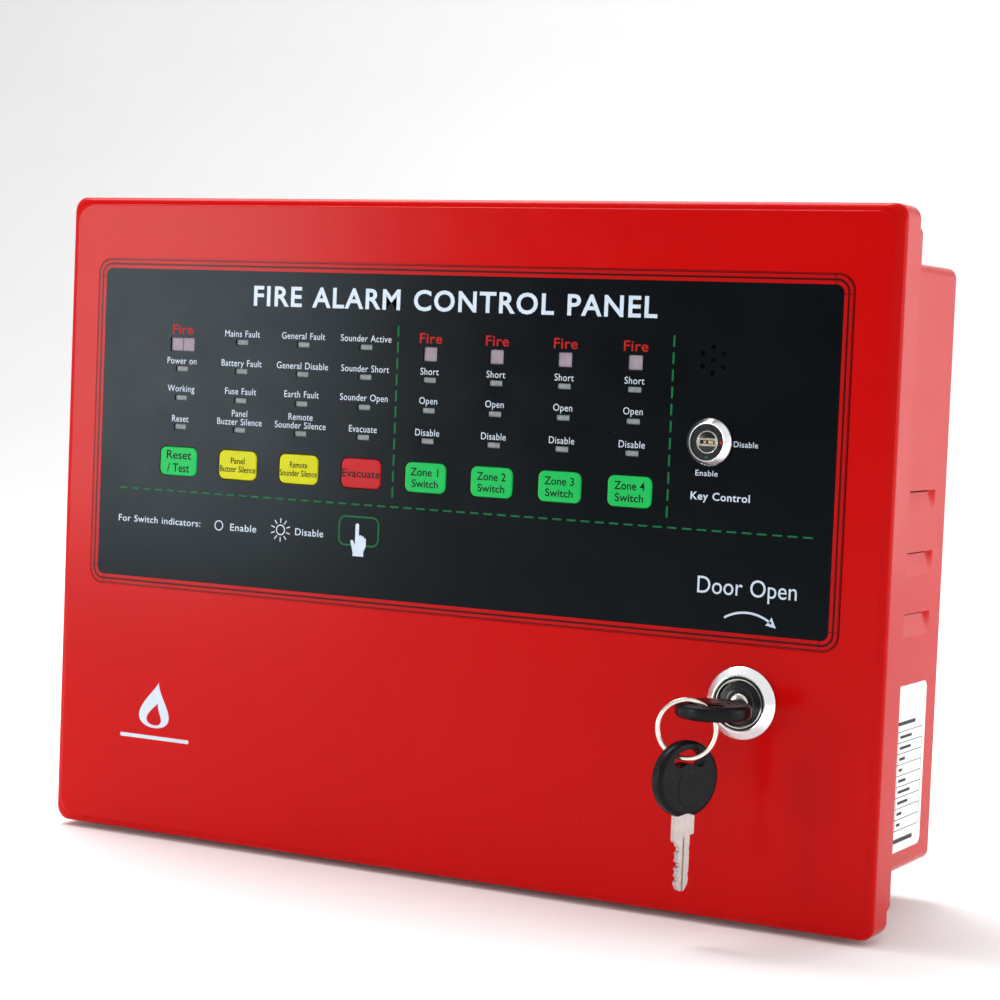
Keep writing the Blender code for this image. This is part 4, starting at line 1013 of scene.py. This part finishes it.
def ring_hole():
    """The curved hole near the bow's top, as (u, v) pairs."""
    start, end = 90 - RING_HOLE_ANGLE, 90 + RING_HOLE_ANGLE
    left, right = (on_circle((0, 0), RING_HOLE_R, angle) for angle in (end, start))
    return (arc((0, 0), RING_HOLE_R + RING_HOLE_HALF, start, end, 18)
            + arc(left, RING_HOLE_HALF, end, end + 180, 10)[1:-1]
            + arc((0, 0), RING_HOLE_R - RING_HOLE_HALF, end, start, 14)
            + arc(right, RING_HOLE_HALF, start + 180, start + 360, 10)[1:-1])


def make_bow(name, matrix, body):
    """The moulded bow: rounded rim, curved ring hole and a shallow raised oval on each face."""
    half = BOW_THICK / 2
    rim = arc((BOW_R - BOW_EDGE, half - BOW_EDGE), BOW_EDGE, 90, 0, 7)
    profile = rim + [(r, -h) for r, h in reversed(rim)]
    mesh = bmesh.new()
    add_turned(mesh, profile, Matrix.Rotation(pi / 2, 4, "X"), False, 72)
    cutter = bmesh.new()
    add_prism(cutter, ring_hole(), -half - 1, half + 1)
    mesh = carve(mesh, cutter)
    notch = bmesh.new()
    add_prism(notch, circle((0, -BOW_R - 5.4), 7.0, 48), -half - 1, half + 1)
    mesh = carve(mesh, notch)
    for side in (-1, 1):
        oval = [[(5.2 * grow * cos(t), 6.8 * grow * sin(t) - 3.2)
                 for t in (2 * pi * i / 48 for i in range(48))] for grow in (1.0, 0.97, 0.9)]
        heights = (half - 0.3, half + 0.1, half + 0.22)
        add_stack(mesh, [(outline, side * height) for outline, height in zip(oval, heights)])
    bmesh.ops.transform(mesh, matrix=matrix, verts=mesh.verts)
    piece(name + "_moulding", mesh, "key_bow", body, [name], bevel=0.25)


def blade_outline():
    """The blade from tang to tip: a bitted left edge, and a step on the right."""
    half, narrow = SHOULDER_W / 2, BLADE_W / 2
    left = [(-half, -5.0), (-half, SHOULDER_LOW + 0.6), (-half + 0.5, SHOULDER_LOW),
            (-narrow, SHOULDER_LOW)]
    for z, depth in ((-24.6, 0.9), (-27.3, 0.4), (-30.0, 1.2), (-32.6, 0.5), (-34.9, 0.8)):
        left += [(-narrow, z + 1.2), (-narrow + depth, z + 0.4), (-narrow + depth, z - 0.4),
                 (-narrow, z - 1.2)]
    tip = [(-narrow, TIP_LOW + 2.4)] + arc((-0.1, TIP_LOW + 2.1), 2.1, 200, 300, 8)
    right = [(narrow - 0.2, TIP_LOW + 2.6), (narrow, TIP_LOW + 4.4), (narrow - 0.35, -33.2),
             (narrow, -32.0), (narrow, -25.0), (narrow - 0.3, -24.3), (narrow, -23.6),
             (narrow, SHOULDER_LOW + 2.5), (half - 0.3, SHOULDER_LOW + 2.5),
             (half, SHOULDER_LOW + 2.8), (half, -5.0)]
    return left + tip + right


def make_blade(name, matrix, body):
    """The flat blade with a milled groove along each face."""
    mesh = bmesh.new()
    thick = KEY_THICK / 2
    add_plate(mesh, [blade_outline()], -thick, thick)
    grooves = bmesh.new()
    for side, across in ((-1, -0.2), (1, 0.6)):
        add_box(grooves, (across - 0.55, side * (thick - 0.45), TIP_LOW - 1),
                (across + 0.55, side * (thick + 1), SHOULDER_LOW + 1.6))
    mesh = carve(mesh, grooves)
    bmesh.ops.transform(mesh, matrix=matrix, verts=mesh.verts)
    piece(name + "_cut", mesh, "key_metal", body, [name], bevel=0.06)


def make_split_ring():
    """A double coil of flattened wire whose ends part at a crossing."""
    centre = node_middle("key_ring")
    along = Vector((cos(radians(RING_AZIMUTH)), sin(radians(RING_AZIMUTH)), 0))
    place = facing(along.cross(Vector((0, 0, 1))), centre)
    section = rounded((0, 0), 1.5, 1.0, 0.36, 3)
    start, end, steps = 0.13, 1.87, 150
    mesh = bmesh.new()
    rings = []
    for i in range(steps + 1):
        share = start + (end - start) * i / steps
        ramp = min(1, max(0, (share - 0.9) / 0.2))
        offset = -0.54 + 1.08 * ramp * ramp * (3 - 2 * ramp)
        turn = 2 * pi * share + radians(100)
        rings.append([mesh.verts.new(place @ Vector(((RING_R + u) * cos(turn),
                                                     (RING_R + u) * sin(turn), v + offset)))
                      for u, v in section])
    add_shell(mesh, rings)
    piece("split_ring", mesh, "nickel_wire", "key_ring", ["key_ring"])


def make_keys():
    """The key in the lock, the split ring, and the spare key that hangs from it."""
    bow = node_middle("lock_key_bow")
    into_lock = Matrix(((1, 0, 0, bow.x), (0, 0, -1, bow.y), (0, 1, 0, bow.z), (0, 0, 0, 1)))
    make_bow("lock_key_bow", into_lock, "lock_key")
    make_blade("lock_key_blade", into_lock, "lock_key")
    make_split_ring()
    hanging = Matrix.Translation(node_middle("spare_key_bow"))
    hanging = hanging @ Matrix.Rotation(radians(SPARE_AZIMUTH), 4, "Z")
    make_bow("spare_key_bow", hanging, "spare_key")
    make_blade("spare_key_blade", hanging, "spare_key")


make_keys()


# ---- Back box ----------------------------------------------------------------------------

BOX_LOW, BOX_HIGH = node_box("back_box")
BOX_W, BOX_H, BOX_R, BOX_WALL, BACK_WALL = 331.0, 226.0, 4.0, 2.5, 3.0
FLANGE_THICK = 6.7
FLANGE_LEFT = node_middle("hinge_pin_top").x + 3.5
LOUVRE_ZS = (29.5, 6.7, -16.0)
LOUVRE_FRONT_Y, LOUVRE_BACK_Y, LOUVRE_DROP, LOUVRE_DEEP = -63.0, -12.0, 9.0, 2.0
FIXING_PLACES = [(side * 140.0, z) for side in (-1, 1) for z in (90.0, -38.0)]
ENTRY_Y, ENTRY_R = node_middle("cable_grommet_left").y, 9.0


def box_outline(inset, radius, steps=10):
    return rounded((0, 0), BOX_W - 2 * inset, BOX_H - 2 * inset, radius, steps)


def flange_outline(inset, steps=10):
    """The rim behind the door, which reaches further on the right and the top."""
    width, height = BOX_HIGH.x - FLANGE_LEFT, BOX_HIGH.z - BOX_LOW.z
    middle = ((BOX_HIGH.x + FLANGE_LEFT) / 2, (BOX_HIGH.z + BOX_LOW.z) / 2)
    return rounded(middle, width - 2 * inset, height - 2 * inset, BOX_R, steps)


def make_box():
    """The moulded tray with its flange, louvres, keyholes, entries and hinge knuckles."""
    front = BOX_LOW.y
    flange_back = front + FLANGE_THICK
    mesh = bmesh.new()
    levels = [(box_outline(BOX_WALL, BOX_R - 1.5), -BACK_WALL),
              (box_outline(BOX_WALL, BOX_R - 1.5), front + 0.5),
              (box_outline(BOX_WALL - 0.5, BOX_R - 1.0), front),
              (flange_outline(0.5), front), (flange_outline(0.12), front + 0.15),
              (flange_outline(0), front + 0.5), (flange_outline(0), flange_back - 0.5),
              (flange_outline(0.12), flange_back - 0.15), (flange_outline(0.5), flange_back),
              (box_outline(-0.8, BOX_R), flange_back),
              (box_outline(-0.25, BOX_R), flange_back + 0.25),
              (box_outline(0, BOX_R), flange_back + 0.8), (box_outline(0, BOX_R), -1.4),
              (box_outline(0.15, BOX_R), -0.8), (box_outline(0.5, BOX_R), -0.3),
              (box_outline(1.1, BOX_R), 0.0)]
    add_stack(mesh, levels)
    cutters = bmesh.new()
    for z in LOUVRE_ZS:
        for side in (-1, 1):
            add_louvre(cutters, side, z)
    mesh = carve(mesh, cutters)
    slots = bmesh.new()
    for z in LOUVRE_ZS:
        for side in (-1, 1):
            add_box(slots, (side * (BOX_W / 2 - BOX_WALL - 1.5), LOUVRE_FRONT_Y + 5, z - 0.75),
                    (side * (BOX_W / 2 - 0.9), LOUVRE_BACK_Y - 5, z - 0.2))
    for x, z in FIXING_PLACES:
        add_prism(slots, keyhole(x, z), -BACK_WALL - 1, 1)
    open_low, blind_low = BOX_H / 2 - BOX_WALL - 2, 112.2
    for x, low in ((-75, open_low), (75, open_low), (-25, blind_low), (25, blind_low)):
        add_prism(slots, circle((x, ENTRY_Y), ENTRY_R, 64), low, BOX_H / 2 + 1, axes_z)
    mesh = carve(mesh, slots)
    for low_z in knuckle_places("box"):
        add_knuckle(mesh, low_z)
        pin = node_middle("hinge_pin_top")
        add_box(mesh, (pin.x + 1.9, pin.y - 2, low_z + 0.4),
                (FLANGE_LEFT + 1, pin.y + 2, low_z + KNUCKLE_L - 0.4))
    for x, z in psu_bosses():
        add_turned(mesh, [(4.4, 1.0), (3.7, 2.0), (3.5, 3.0), (3.5, -PSU_LOW.y - 1.9)],
                   facing(OUT, (x, -1.5, z)), False, 32)
    piece("box_moulding", mesh, "red_abs", "box", ["back_box"])


def add_louvre(mesh, side, top):
    """A scooped vent: deepest under its top edge, running out downwards and at its ends."""
    face = side * BOX_W / 2
    columns, rows, end = 34, 9, 6.0
    grid = []
    for j in range(rows + 1):
        fall = j / rows
        row = []
        for i in range(columns + 1):
            y = LOUVRE_FRONT_Y + (LOUVRE_BACK_Y - LOUVRE_FRONT_Y) * i / columns
            near = min(y - LOUVRE_FRONT_Y, LOUVRE_BACK_Y - y) / end
            ease = min(1, near)
            ease = ease * ease * (3 - 2 * ease)
            deep = LOUVRE_DEEP * (1 - fall) ** 1.3 * ease
            row.append((face - side * deep + side * 0.02, y, top - LOUVRE_DROP * fall))
        grid.append(row)
    outer = [[(face + side * 1.0, y, z) for _, y, z in row] for row in (grid[0], grid[-1])]
    inner = [[mesh.verts.new(place) for place in row] for row in grid]
    cover = [[mesh.verts.new(place) for place in row] for row in outer]
    bridge(mesh, inner, False)
    bridge(mesh, (inner[0], cover[0], cover[1], inner[-1]), False)
    for i in (0, columns):
        mesh.faces.new([row[i] for row in inner] + [cover[1][i], cover[0][i]])


def keyhole(x, z):
    """A hanging hole: a round head hole under a narrow slot."""
    head_r, slot_r, rise = 4.75, 2.4, 9.0
    half = 90 - 180 / pi * Vector((slot_r, sqrt(head_r ** 2 - slot_r ** 2))).angle(Vector((1, 0)))
    return (arc((x, z), head_r, 90 + half, 450 - half, 28)
            + arc((x, z + rise), slot_r, 0, 180, 12))


PSU_LOW, PSU_HIGH = node_box("psu_board")


def psu_bosses():
    return [(x, z) for x in (PSU_LOW.x + 6, PSU_HIGH.x - 6)
            for z in (PSU_LOW.z + 6, PSU_HIGH.z - 6)]


make_box()


# ---- Rating label ------------------------------------------------------------------------

def make_label():
    """The film label on the right side wall, ruled like a data table with no words."""
    low, high = node_box("side_label")
    middle = ((low.y + high.y) / 2, (low.z + high.z) / 2)
    width, height = high.y - low.y, high.z - low.z
    mesh = bmesh.new()
    add_stack(mesh, [(rounded(middle, width, height, 3.0, 8), low.x - 0.1),
                     (rounded(middle, width, height, 3.0, 8), high.x - 0.05),
                     (rounded(middle, width - 0.2, height - 0.2, 2.9, 8), high.x)], axes_x)
    piece("rating_label", mesh, "label_film", "box", ["side_label"])
    ink = bmesh.new()
    left, right, rows, row_h = low.y + 3, high.y - 3, 9, 4.1
    top = high.z - 17
    face = (high.x - INK, high.x + INK)

    def bar(start, end, z, thick):
        add_box(ink, (face[0], start, z - thick / 2), (face[1], end, z + thick / 2))

    for i in range(rows + 1):
        bar(left, right, top - row_h * i, 0.3)
    for y in (left, (left + right) / 2 - 4, right):
        add_box(ink, (face[0], y - 0.15, top - rows * row_h), (face[1], y + 0.15, top))
    for i in range(rows):
        z = top - row_h * (i + 0.5)
        bar(left + 1.5, left + 9 + 4 * sin(i * 2.1), z, 1.1)
        bar((left + right) / 2 - 2.5, (left + right) / 2 + 6 + 5 * sin(i * 1.3 + 1), z, 1.1)
    bar(left + 1, right - 8, high.z - 14, 1.4)
    bar(left + 6, right - 6, low.z + 4.2, 1.6)
    badge = (left + 10, high.z - 7.2)
    add_plate_x(ink, [circle(badge, 4.0, 40), circle(badge, 3.2, 40)], *face)
    piece("rating_label_print", ink, "ink_dark", "box")


def add_plate_x(mesh, outlines, near, far):
    """A flat sheet across X."""
    turn = Matrix.Translation(((near + far) / 2, 0, 0)) @ Matrix.Rotation(pi / 2, 4, "Z")
    add_plate(mesh, outlines, 0, far - near, turn @ Matrix.Rotation(pi / 2, 4, "X"))


make_label()


# ---- Interior details --------------------------------------------------------------------
# Heights over a board are counted from its face, towards the side its parts stand on.

DOOR_BOARD = (node_box("control_board")[1].y, 1)
PSU_BOARD = (node_box("psu_board")[0].y, -1)


def add_slab(mesh, board, place, size, start, end):
    """A block over a board, between two heights."""
    face, way = board
    near, far = sorted((face + way * start, face + way * end))
    add_box(mesh, (place[0] - size[0] / 2, near, place[1] - size[1] / 2),
            (place[0] + size[0] / 2, far, place[1] + size[1] / 2))


def add_leads(mesh, board, place, size, count, sides):
    """Bent leads in rows along the sides of a chip; a side is (1, 0), (0, -1) and so on."""
    pitch = (size[0] - 1.6) / (count - 1)
    for across, up in sides:
        reach = size[0] / 2 if across else size[1] / 2
        for i in range(count):
            along = (i - (count - 1) / 2) * pitch
            for out, length, start, end in ((0.3, 0.7, 0.75, 0.95), (0.72, 0.2, 0.1, 0.95),
                                            (1.05, 0.8, 0.02, 0.2)):
                middle = (place[0] + across * (reach + out) + along * abs(up),
                          place[1] + up * (reach + out) + along * abs(across))
                add_slab(mesh, board, middle, (length, 0.4) if across else (0.4, length),
                         start, end)


def add_small_parts(bodies, metal, board, lows, highs, pitches, skip=lambda x: False):
    """Rows of surface-mounted resistors with plated ends, but for the columns to skip."""
    z = lows[1]
    while z <= highs[1]:
        x = lows[0]
        while x <= highs[0]:
            if not skip(x):
                add_slab(bodies, board, (x, z), (1.9, 1.5), 0.02, 0.55)
                for side in (-1, 1):
                    add_slab(metal, board, (x + side * 1.25, z), (0.6, 1.5), 0.0, 0.6)
            x += pitches[0]
        z += pitches[1]


def add_screw_head(mesh, slots, board, place, radius, height):
    """A round head with a dark bar across it, painted shade standing in for its slot."""
    face, way = board
    turn = facing((0, way, 0), (place[0], face + way * height, place[1]))
    add_turned(mesh, [(radius, 0), (radius, 0.7), (radius - 0.25, 0.95)], turn, False, 28)
    # The dark bar is painted shade for the slot, laid flush on the head's top instead of a cut
    # groove
    add_slab(slots, board, place, (2 * radius - 0.7, 0.55), height + 0.6, height + 0.98)


def add_capacitor_top(mesh, marks, node, way):
    """The bare can end of a capacitor, with a dark cross of painted shade standing in for its scored
    vent.
    """
    low, high = node_box(node)
    x, z, radius = (low.x + high.x) / 2, (low.z + high.z) / 2, (high.x - low.x) / 2
    end = (high.y if way > 0 else low.y, way)
    add_turned(mesh, [(radius * 0.84, -0.3), (radius * 0.84, 0.08), (radius * 0.78, 0.14)],
               facing((0, way, 0), (x, end[0], z)), False, 40)
    # A dark cross of painted shade for the scored vent lines, not cut into the metal
    for size in ((radius * 1.2, 0.3), (0.3, radius * 1.2)):
        add_slab(marks, end, (x, z), size, 0.1, 0.17)


def add_small_chip(bodies, metal, marks, board, place):
    """A sixteen-lead chip with two bars of print on its back."""
    size = (10, 4)
    add_slab(bodies, board, place, size, 0.1, 1.5)
    add_leads(metal, board, place, size, 8, ((0, 1), (0, -1)))
    add_print_bars(marks, board, (place[0], place[1] + 0.5), (6, 4.4), 1.5, 1.3)


def add_print_bars(mesh, board, place, rows, height, pitch=2.0):
    """Ruled bars of print in place of small lettering."""
    for i, width in enumerate(rows):
        add_slab(mesh, board, (place[0], place[1] - i * pitch), (width, pitch * 0.4),
                 height - 0.02, height + 0.03)


def make_door_board_parts():
    """Chips, resistors, solder joints, terminal screws and print on the control board, with painted
    shade in the screw slots and capacitor vents.
    """
    # The slots mesh holds dark bars of painted shade for the screw slots and capacitor vents
    bodies, metal, marks, slots = (bmesh.new() for _ in range(4))
    low, high = node_box("controller_chip")
    chip = ((low.x + high.x) / 2, (low.z + high.z) / 2)
    add_leads(metal, DOOR_BOARD, chip, (14, 14), 14, ((1, 0), (-1, 0), (0, 1), (0, -1)))
    add_print_bars(marks, DOOR_BOARD, (chip[0], chip[1] + 2), (8, 6, 8), high.y - DOOR_BOARD[0])
    for i in range(6):
        add_small_chip(bodies, metal, marks, DOOR_BOARD, (-122 + 36 * i, 42))
    add_small_parts(bodies, metal, DOOR_BOARD, (-134, 25), (92, 31), (9.4, 5.4))
    add_small_parts(bodies, metal, DOOR_BOARD, (-22, 74), (92, 76), (11.3, 5.0))
    for column in range(len(PADS)):
        for row_z in ROW_ZS:
            for side in (-1.3, 1.3):
                place = facing((0, 1, 0), (column_x(column) + side, DOOR_BOARD[0],
                                           on_door(0, row_z)[1]))
                add_turned(metal, [(0.95, 0.0), (0.55, 0.35), (0.3, 0.7)], place, False, 12)
    for node in ("field_terminals_left", "field_terminals_right"):
        left, front = node_box(node)[0].x, node_box(node)[1].y - DOOR_BOARD[0]
        for i in range(8):
            add_screw_head(metal, slots, DOOR_BOARD, (left + 4.5 + 9 * i, 90), 2.3, front - 2.5)
    for node in ("relay_left", "relay_right"):
        middle, front = node_middle(node), node_box(node)[1].y - DOOR_BOARD[0]
        add_print_bars(marks, DOOR_BOARD, (middle.x, middle.z + 3.5), (12, 9, 12, 7), front)
    add_capacitor_top(metal, slots, "capacitor_left", 1)
    add_capacitor_top(metal, slots, "capacitor_right", 1)
    piece("board_small_parts", bodies, "black_plastic", "door")
    piece("board_metal", metal, "zinc_steel", "door")
    piece("board_marks", marks, "ink_white", "door")
    # Dark bars of painted shade in the screw slots and the capacitor vents
    piece("board_slot_shade", slots, "rubber", "door")


def make_psu_parts():
    """Screws, rectifier, resistors, fuse caps and print on the power supply board, with painted
    shade in the screw slots and the capacitor vent.
    """
    # The slots mesh holds dark bars of painted shade for the screw slots and the capacitor vent
    bodies, metal, marks, slots = (bmesh.new() for _ in range(4))
    for place in psu_bosses():
        add_screw_head(metal, slots, PSU_BOARD, place, 2.9, 0.0)
    left, front = node_box("mains_terminal_block")[0].x, 10.5
    for i in range(5):
        add_screw_head(metal, slots, PSU_BOARD, (left + 4.75 + 9.5 * i, 76), 2.4, front)
    add_slab(bodies, PSU_BOARD, (30, 40), (15, 15), 0.2, 6.5)
    add_leads(metal, PSU_BOARD, (30, 40), (15, 15), 2, ((0, 1), (0, -1)))
    for place in ((5, 26), (110, 40), (110, 56)):
        add_small_chip(bodies, metal, marks, PSU_BOARD, place)
    add_small_parts(bodies, metal, PSU_BOARD, (52, 34), (92, 56), (6.6, 5.5),
                    lambda x: 66 < x < 74)
    add_small_parts(bodies, metal, PSU_BOARD, (-8, -12), (112, 0), (7.5, 5.0),
                    lambda x: 8 < x < 32)
    fuse = node_middle("mains_fuse")
    for side in (-1, 1):
        cap = facing((side, 0, 0), (fuse.x + side * 6.2, fuse.y, fuse.z))
        add_turned(metal, [(2.66, 0), (2.66, 4.4), (2.3, 4.55)], cap, False, 32)
    add_capacitor_top(metal, slots, "psu_capacitor", -1)
    for place, rows in (((63.5, 61), (30, 18)), ((15, 59), (16, 10))):
        add_print_bars(marks, PSU_BOARD, place, rows, 0.0, 2.2)
    piece("psu_small_parts", bodies, "black_plastic", "box")
    piece("psu_metal", metal, "zinc_steel", "box")
    piece("psu_marks", marks, "ink_white", "box")
    # Dark bars of painted shade in the screw slots and the capacitor vent
    piece("psu_slot_shade", slots, "rubber", "box")


def make_battery_parts():
    """A lid seam, ruled labels and push-on terminal boots for both batteries."""
    lids, labels, bars = bmesh.new(), bmesh.new(), bmesh.new()
    boots = {"pad_red": bmesh.new(), "lock_black": bmesh.new()}
    top, label_z, terminal_y = -52.5, -69.0, -16.9
    for node in ("battery_left", "battery_right"):
        low, high = node_box(node)
        middle = ((low.x + high.x) / 2, (low.y + high.y) / 2)
        wide, deep = high.x - low.x + 0.5, high.y - low.y + 0.24
        add_stack(lids, [(rounded(middle, wide - 0.6, deep - 0.6, 2.2), top - 7.0),
                         (rounded(middle, wide, deep, 2.2), top - 6.6),
                         (rounded(middle, wide, deep, 2.2), top - 0.5),
                         (rounded(middle, wide - 1.0, deep - 1.0, 2.2), top + 0.35)], axes_z)
        face = (low.y, -1)
        add_plate(labels, [rounded((middle[0], label_z), 62, 11, 1.5)], low.y - 0.12, low.y + 0.05)
        add_print_bars(bars, face, (middle[0] - 8, label_z + 3), (38, 24, 34), 0.12, 3.0)
        add_slab(bars, face, (middle[0] + 23, label_z), (9, 6), 0.1, 0.15)
        for x, finish in ((low.x + 10, "lock_black"), (high.x - 10, "pad_red")):
            outline = rounded((x, terminal_y), 6.8, 3.2, 1.2)
            add_stack(boots[finish], [(outline, -50.6), (outline, -45.4),
                                      (rounded((x, terminal_y), 5.6, 2.4, 1.0), -44.6)], axes_z)
    piece("battery_lids", lids, "battery_case", "box", bevel=0.2)
    piece("battery_labels", labels, "label_film", "box")
    piece("battery_label_print", bars, "ink_dark", "box")
    for finish, mesh in boots.items():
        piece("battery_boots_" + finish, mesh, finish, "box")


def make_transformer_parts():
    """Bobbin flanges before the core, and a row of tinned lugs over the coil."""
    flanges, lugs = bmesh.new(), bmesh.new()
    low, high = node_box("transformer_coil")
    core_front = node_box("transformer_core")[0].y
    thick = 1.4
    outline = rounded(((low.x + high.x) / 2, (low.y + core_front) / 2 - 0.4),
                      high.x - low.x + 2, core_front - low.y + 0.6, 0.8)
    for z in (low.z, high.z - thick):
        add_prism(flanges, outline, z, z + thick, axes_z)
    for i in range(5):
        x = (low.x + high.x) / 2 + (i - 2) * 7
        add_box(lugs, (x - 1.1, low.y + 2.0, high.z - 0.5), (x + 1.1, low.y + 2.6, high.z + 5.0))
    piece("transformer_flanges", flanges, "black_plastic", "box", bevel=0.2)
    piece("transformer_lugs", lugs, "zinc_steel", "box", bevel=0.15)


make_door_board_parts()
make_psu_parts()
make_battery_parts()
make_transformer_parts()


# ---- Inside ------------------------------------------------------------------------------

NODE_FINISHES = {
    "hinge_pin_top": "zinc_steel", "hinge_pin_bottom": "zinc_steel",
    "cable_grommet_left": "rubber", "cable_grommet_right": "rubber",
    "transformer_core": "core_steel", "transformer_coil": "coil_tape",
    "transformer_bracket": "zinc_steel", "psu_board": "board_mask",
    "mains_terminal_block": "black_plastic", "fuse_holder": "black_plastic",
    "mains_fuse": "fuse_glass", "psu_heat_sink": "aluminium", "psu_capacitor": "black_plastic",
    "battery_left": "battery_case", "battery_right": "battery_case",
    "battery_strap": "zinc_steel", "earth_stud": "brass", "lock_strike": "zinc_steel",
    "control_board": "board_mask", "board_screw_1": "zinc_steel", "board_screw_2": "zinc_steel",
    "board_screw_3": "zinc_steel", "board_screw_4": "zinc_steel", "led_shroud": "black_plastic",
    "buzzer": "black_plastic", "field_terminals_left": "terminal_blue",
    "field_terminals_right": "terminal_blue", "relay_left": "relay_blue",
    "relay_right": "relay_blue", "controller_chip": "black_plastic",
    "capacitor_left": "black_plastic", "capacitor_right": "black_plastic",
    "key_switch_contacts": "black_plastic", "lock_cam": "zinc_steel", "cam_screw": "zinc_steel",
}
SHARP_NODES = ("hinge_pin_top", "hinge_pin_bottom", "lock_cam", "battery_strap", "lock_strike",
               "transformer_bracket", "transformer_coil", "battery_left", "battery_right")


def finish_nodes():
    """The CAD nodes that keep their shape get their finish, and softer edges where they show."""
    for node, finish in NODE_FINISHES.items():
        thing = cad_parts[node]
        for slot in thing.material_slots:
            slot.material = MAT[finish]
        if not thing.material_slots:
            thing.data.materials.append(MAT[finish])
        if node in SHARP_NODES:
            soften(thing, 0.25)
            even_shading(thing)


finish_nodes()


# ---- Camera, light and floor -------------------------------------------------------------

CAMERA_PLACE, CAMERA_LENS = (475.7, -926.5, 71.9), 91.07
CAMERA_AZIMUTH, CAMERA_ELEVATION, CAMERA_ROLL = 28.519, -3.193, -2.329    # degrees


def make_camera():
    """The photograph's view: from the right, a little above, slightly rolled."""
    data = bpy.data.cameras.new("camera")
    data.lens, data.sensor_width = CAMERA_LENS, 36.0
    data.clip_end = 20
    camera = place_object("camera", data)
    turn = Matrix.Rotation(pi / 2, 4, "X")
    for angle, axis in ((CAMERA_ROLL, "Y"), (CAMERA_ELEVATION, "X"), (CAMERA_AZIMUTH, "Z")):
        turn = Matrix.Rotation(radians(angle), 4, axis) @ turn
    camera.matrix_world = Matrix.Translation(Vector(CAMERA_PLACE) * MM) @ turn
    bpy.context.scene.camera = camera


def make_light(name, place, target, size, radiance, colour=(1, 1, 1)):
    """A soft rectangular light aimed at a target; places and sizes in metres."""
    data = bpy.data.lights.new(name, "AREA")
    data.shape = "RECTANGLE"
    data.size, data.size_y = size
    data.energy = radiance * pi * size[0] * size[1]
    data.color = colour
    light = place_object(name, data)
    turn = (Vector(target) - Vector(place)).to_track_quat("-Z", "Y").to_matrix().to_4x4()
    light.matrix_world = Matrix.Translation(Vector(place)) @ turn


def make_floor():
    """A plain pale floor that sweeps up behind the object."""
    mesh = bmesh.new()
    height = DOOR_LOW.z - 2.0
    outline = [(-3500, height)] + arc((1500, height + 900), 900, -90, 0, 24)
    outline.append((2400, height + 3200))
    rows = [[mesh.verts.new((x, y, z)) for y, z in outline] for x in (-4000, 4000)]
    bridge(mesh, (rows[1], rows[0]), False)
    bmesh.ops.scale(mesh, vec=(MM, MM, MM), verts=mesh.verts)
    data = bpy.data.meshes.new("studio_floor")
    mesh.to_mesh(data)
    mesh.free()
    paint = Paint("floor", (0.88, 0.88, 0.88), 0.6, Specular_IOR_Level=0.2).mottle(200, 0.01)
    data.materials.append(paint.material)
    data.shade_smooth()
    place_object("studio_floor", data)


def make_surround():
    """A pale world that is greyer around one direction, ahead of the door and to its left."""
    world = bpy.data.worlds.new("studio")
    world.use_nodes = True
    nodes, links = world.node_tree.nodes, world.node_tree.links
    place = nodes.new("ShaderNodeTexCoord")
    towards = nodes.new("ShaderNodeVectorMath")
    towards.operation = "DOT_PRODUCT"
    towards.inputs[1].default_value = Vector((-0.42, -0.9, 0.08)).normalized()
    shade = nodes.new("ShaderNodeMapRange")
    shade.interpolation_type = "SMOOTHSTEP"
    shade.inputs["From Min"].default_value = cos(radians(40))
    shade.inputs["From Max"].default_value = cos(radians(18))
    shade.inputs["To Min"].default_value = 0.88
    shade.inputs["To Max"].default_value = 0.3
    links.new(place.outputs["Generated"], towards.inputs[0])
    links.new(towards.outputs["Value"], shade.inputs["Value"])
    links.new(shade.outputs["Result"], nodes["Background"].inputs["Strength"])
    nodes["Background"].inputs["Color"].default_value = (1.0, 1.0, 1.0, 1.0)
    bpy.context.scene.world = world


def make_studio():
    """The floor and surround, with soft boxes to the left, above, to the right and behind."""
    make_floor()
    make_surround()
    make_light("wash_left", (-1.22, -1.5, 0.15), (-1.22, 0, 0.15), (0.55, 0.7), 13.0)
    make_light("top", (-0.6, 0.25, 1.35), (-0.3, 0.2, 0), (1.3, 1.0), 8.0)
    make_light("side_right", (1.6, 0.3, 0.1), (0.17, -0.04, 0.0), (1.0, 1.2), 2.6)
    make_light("back_right", (1.1, 1.3, 0.2), (0.17, -0.04, 0.0), (1.0, 1.4), 2.0)


bpy.context.scene.view_settings.view_transform = "Standard"
make_camera()
make_studio()
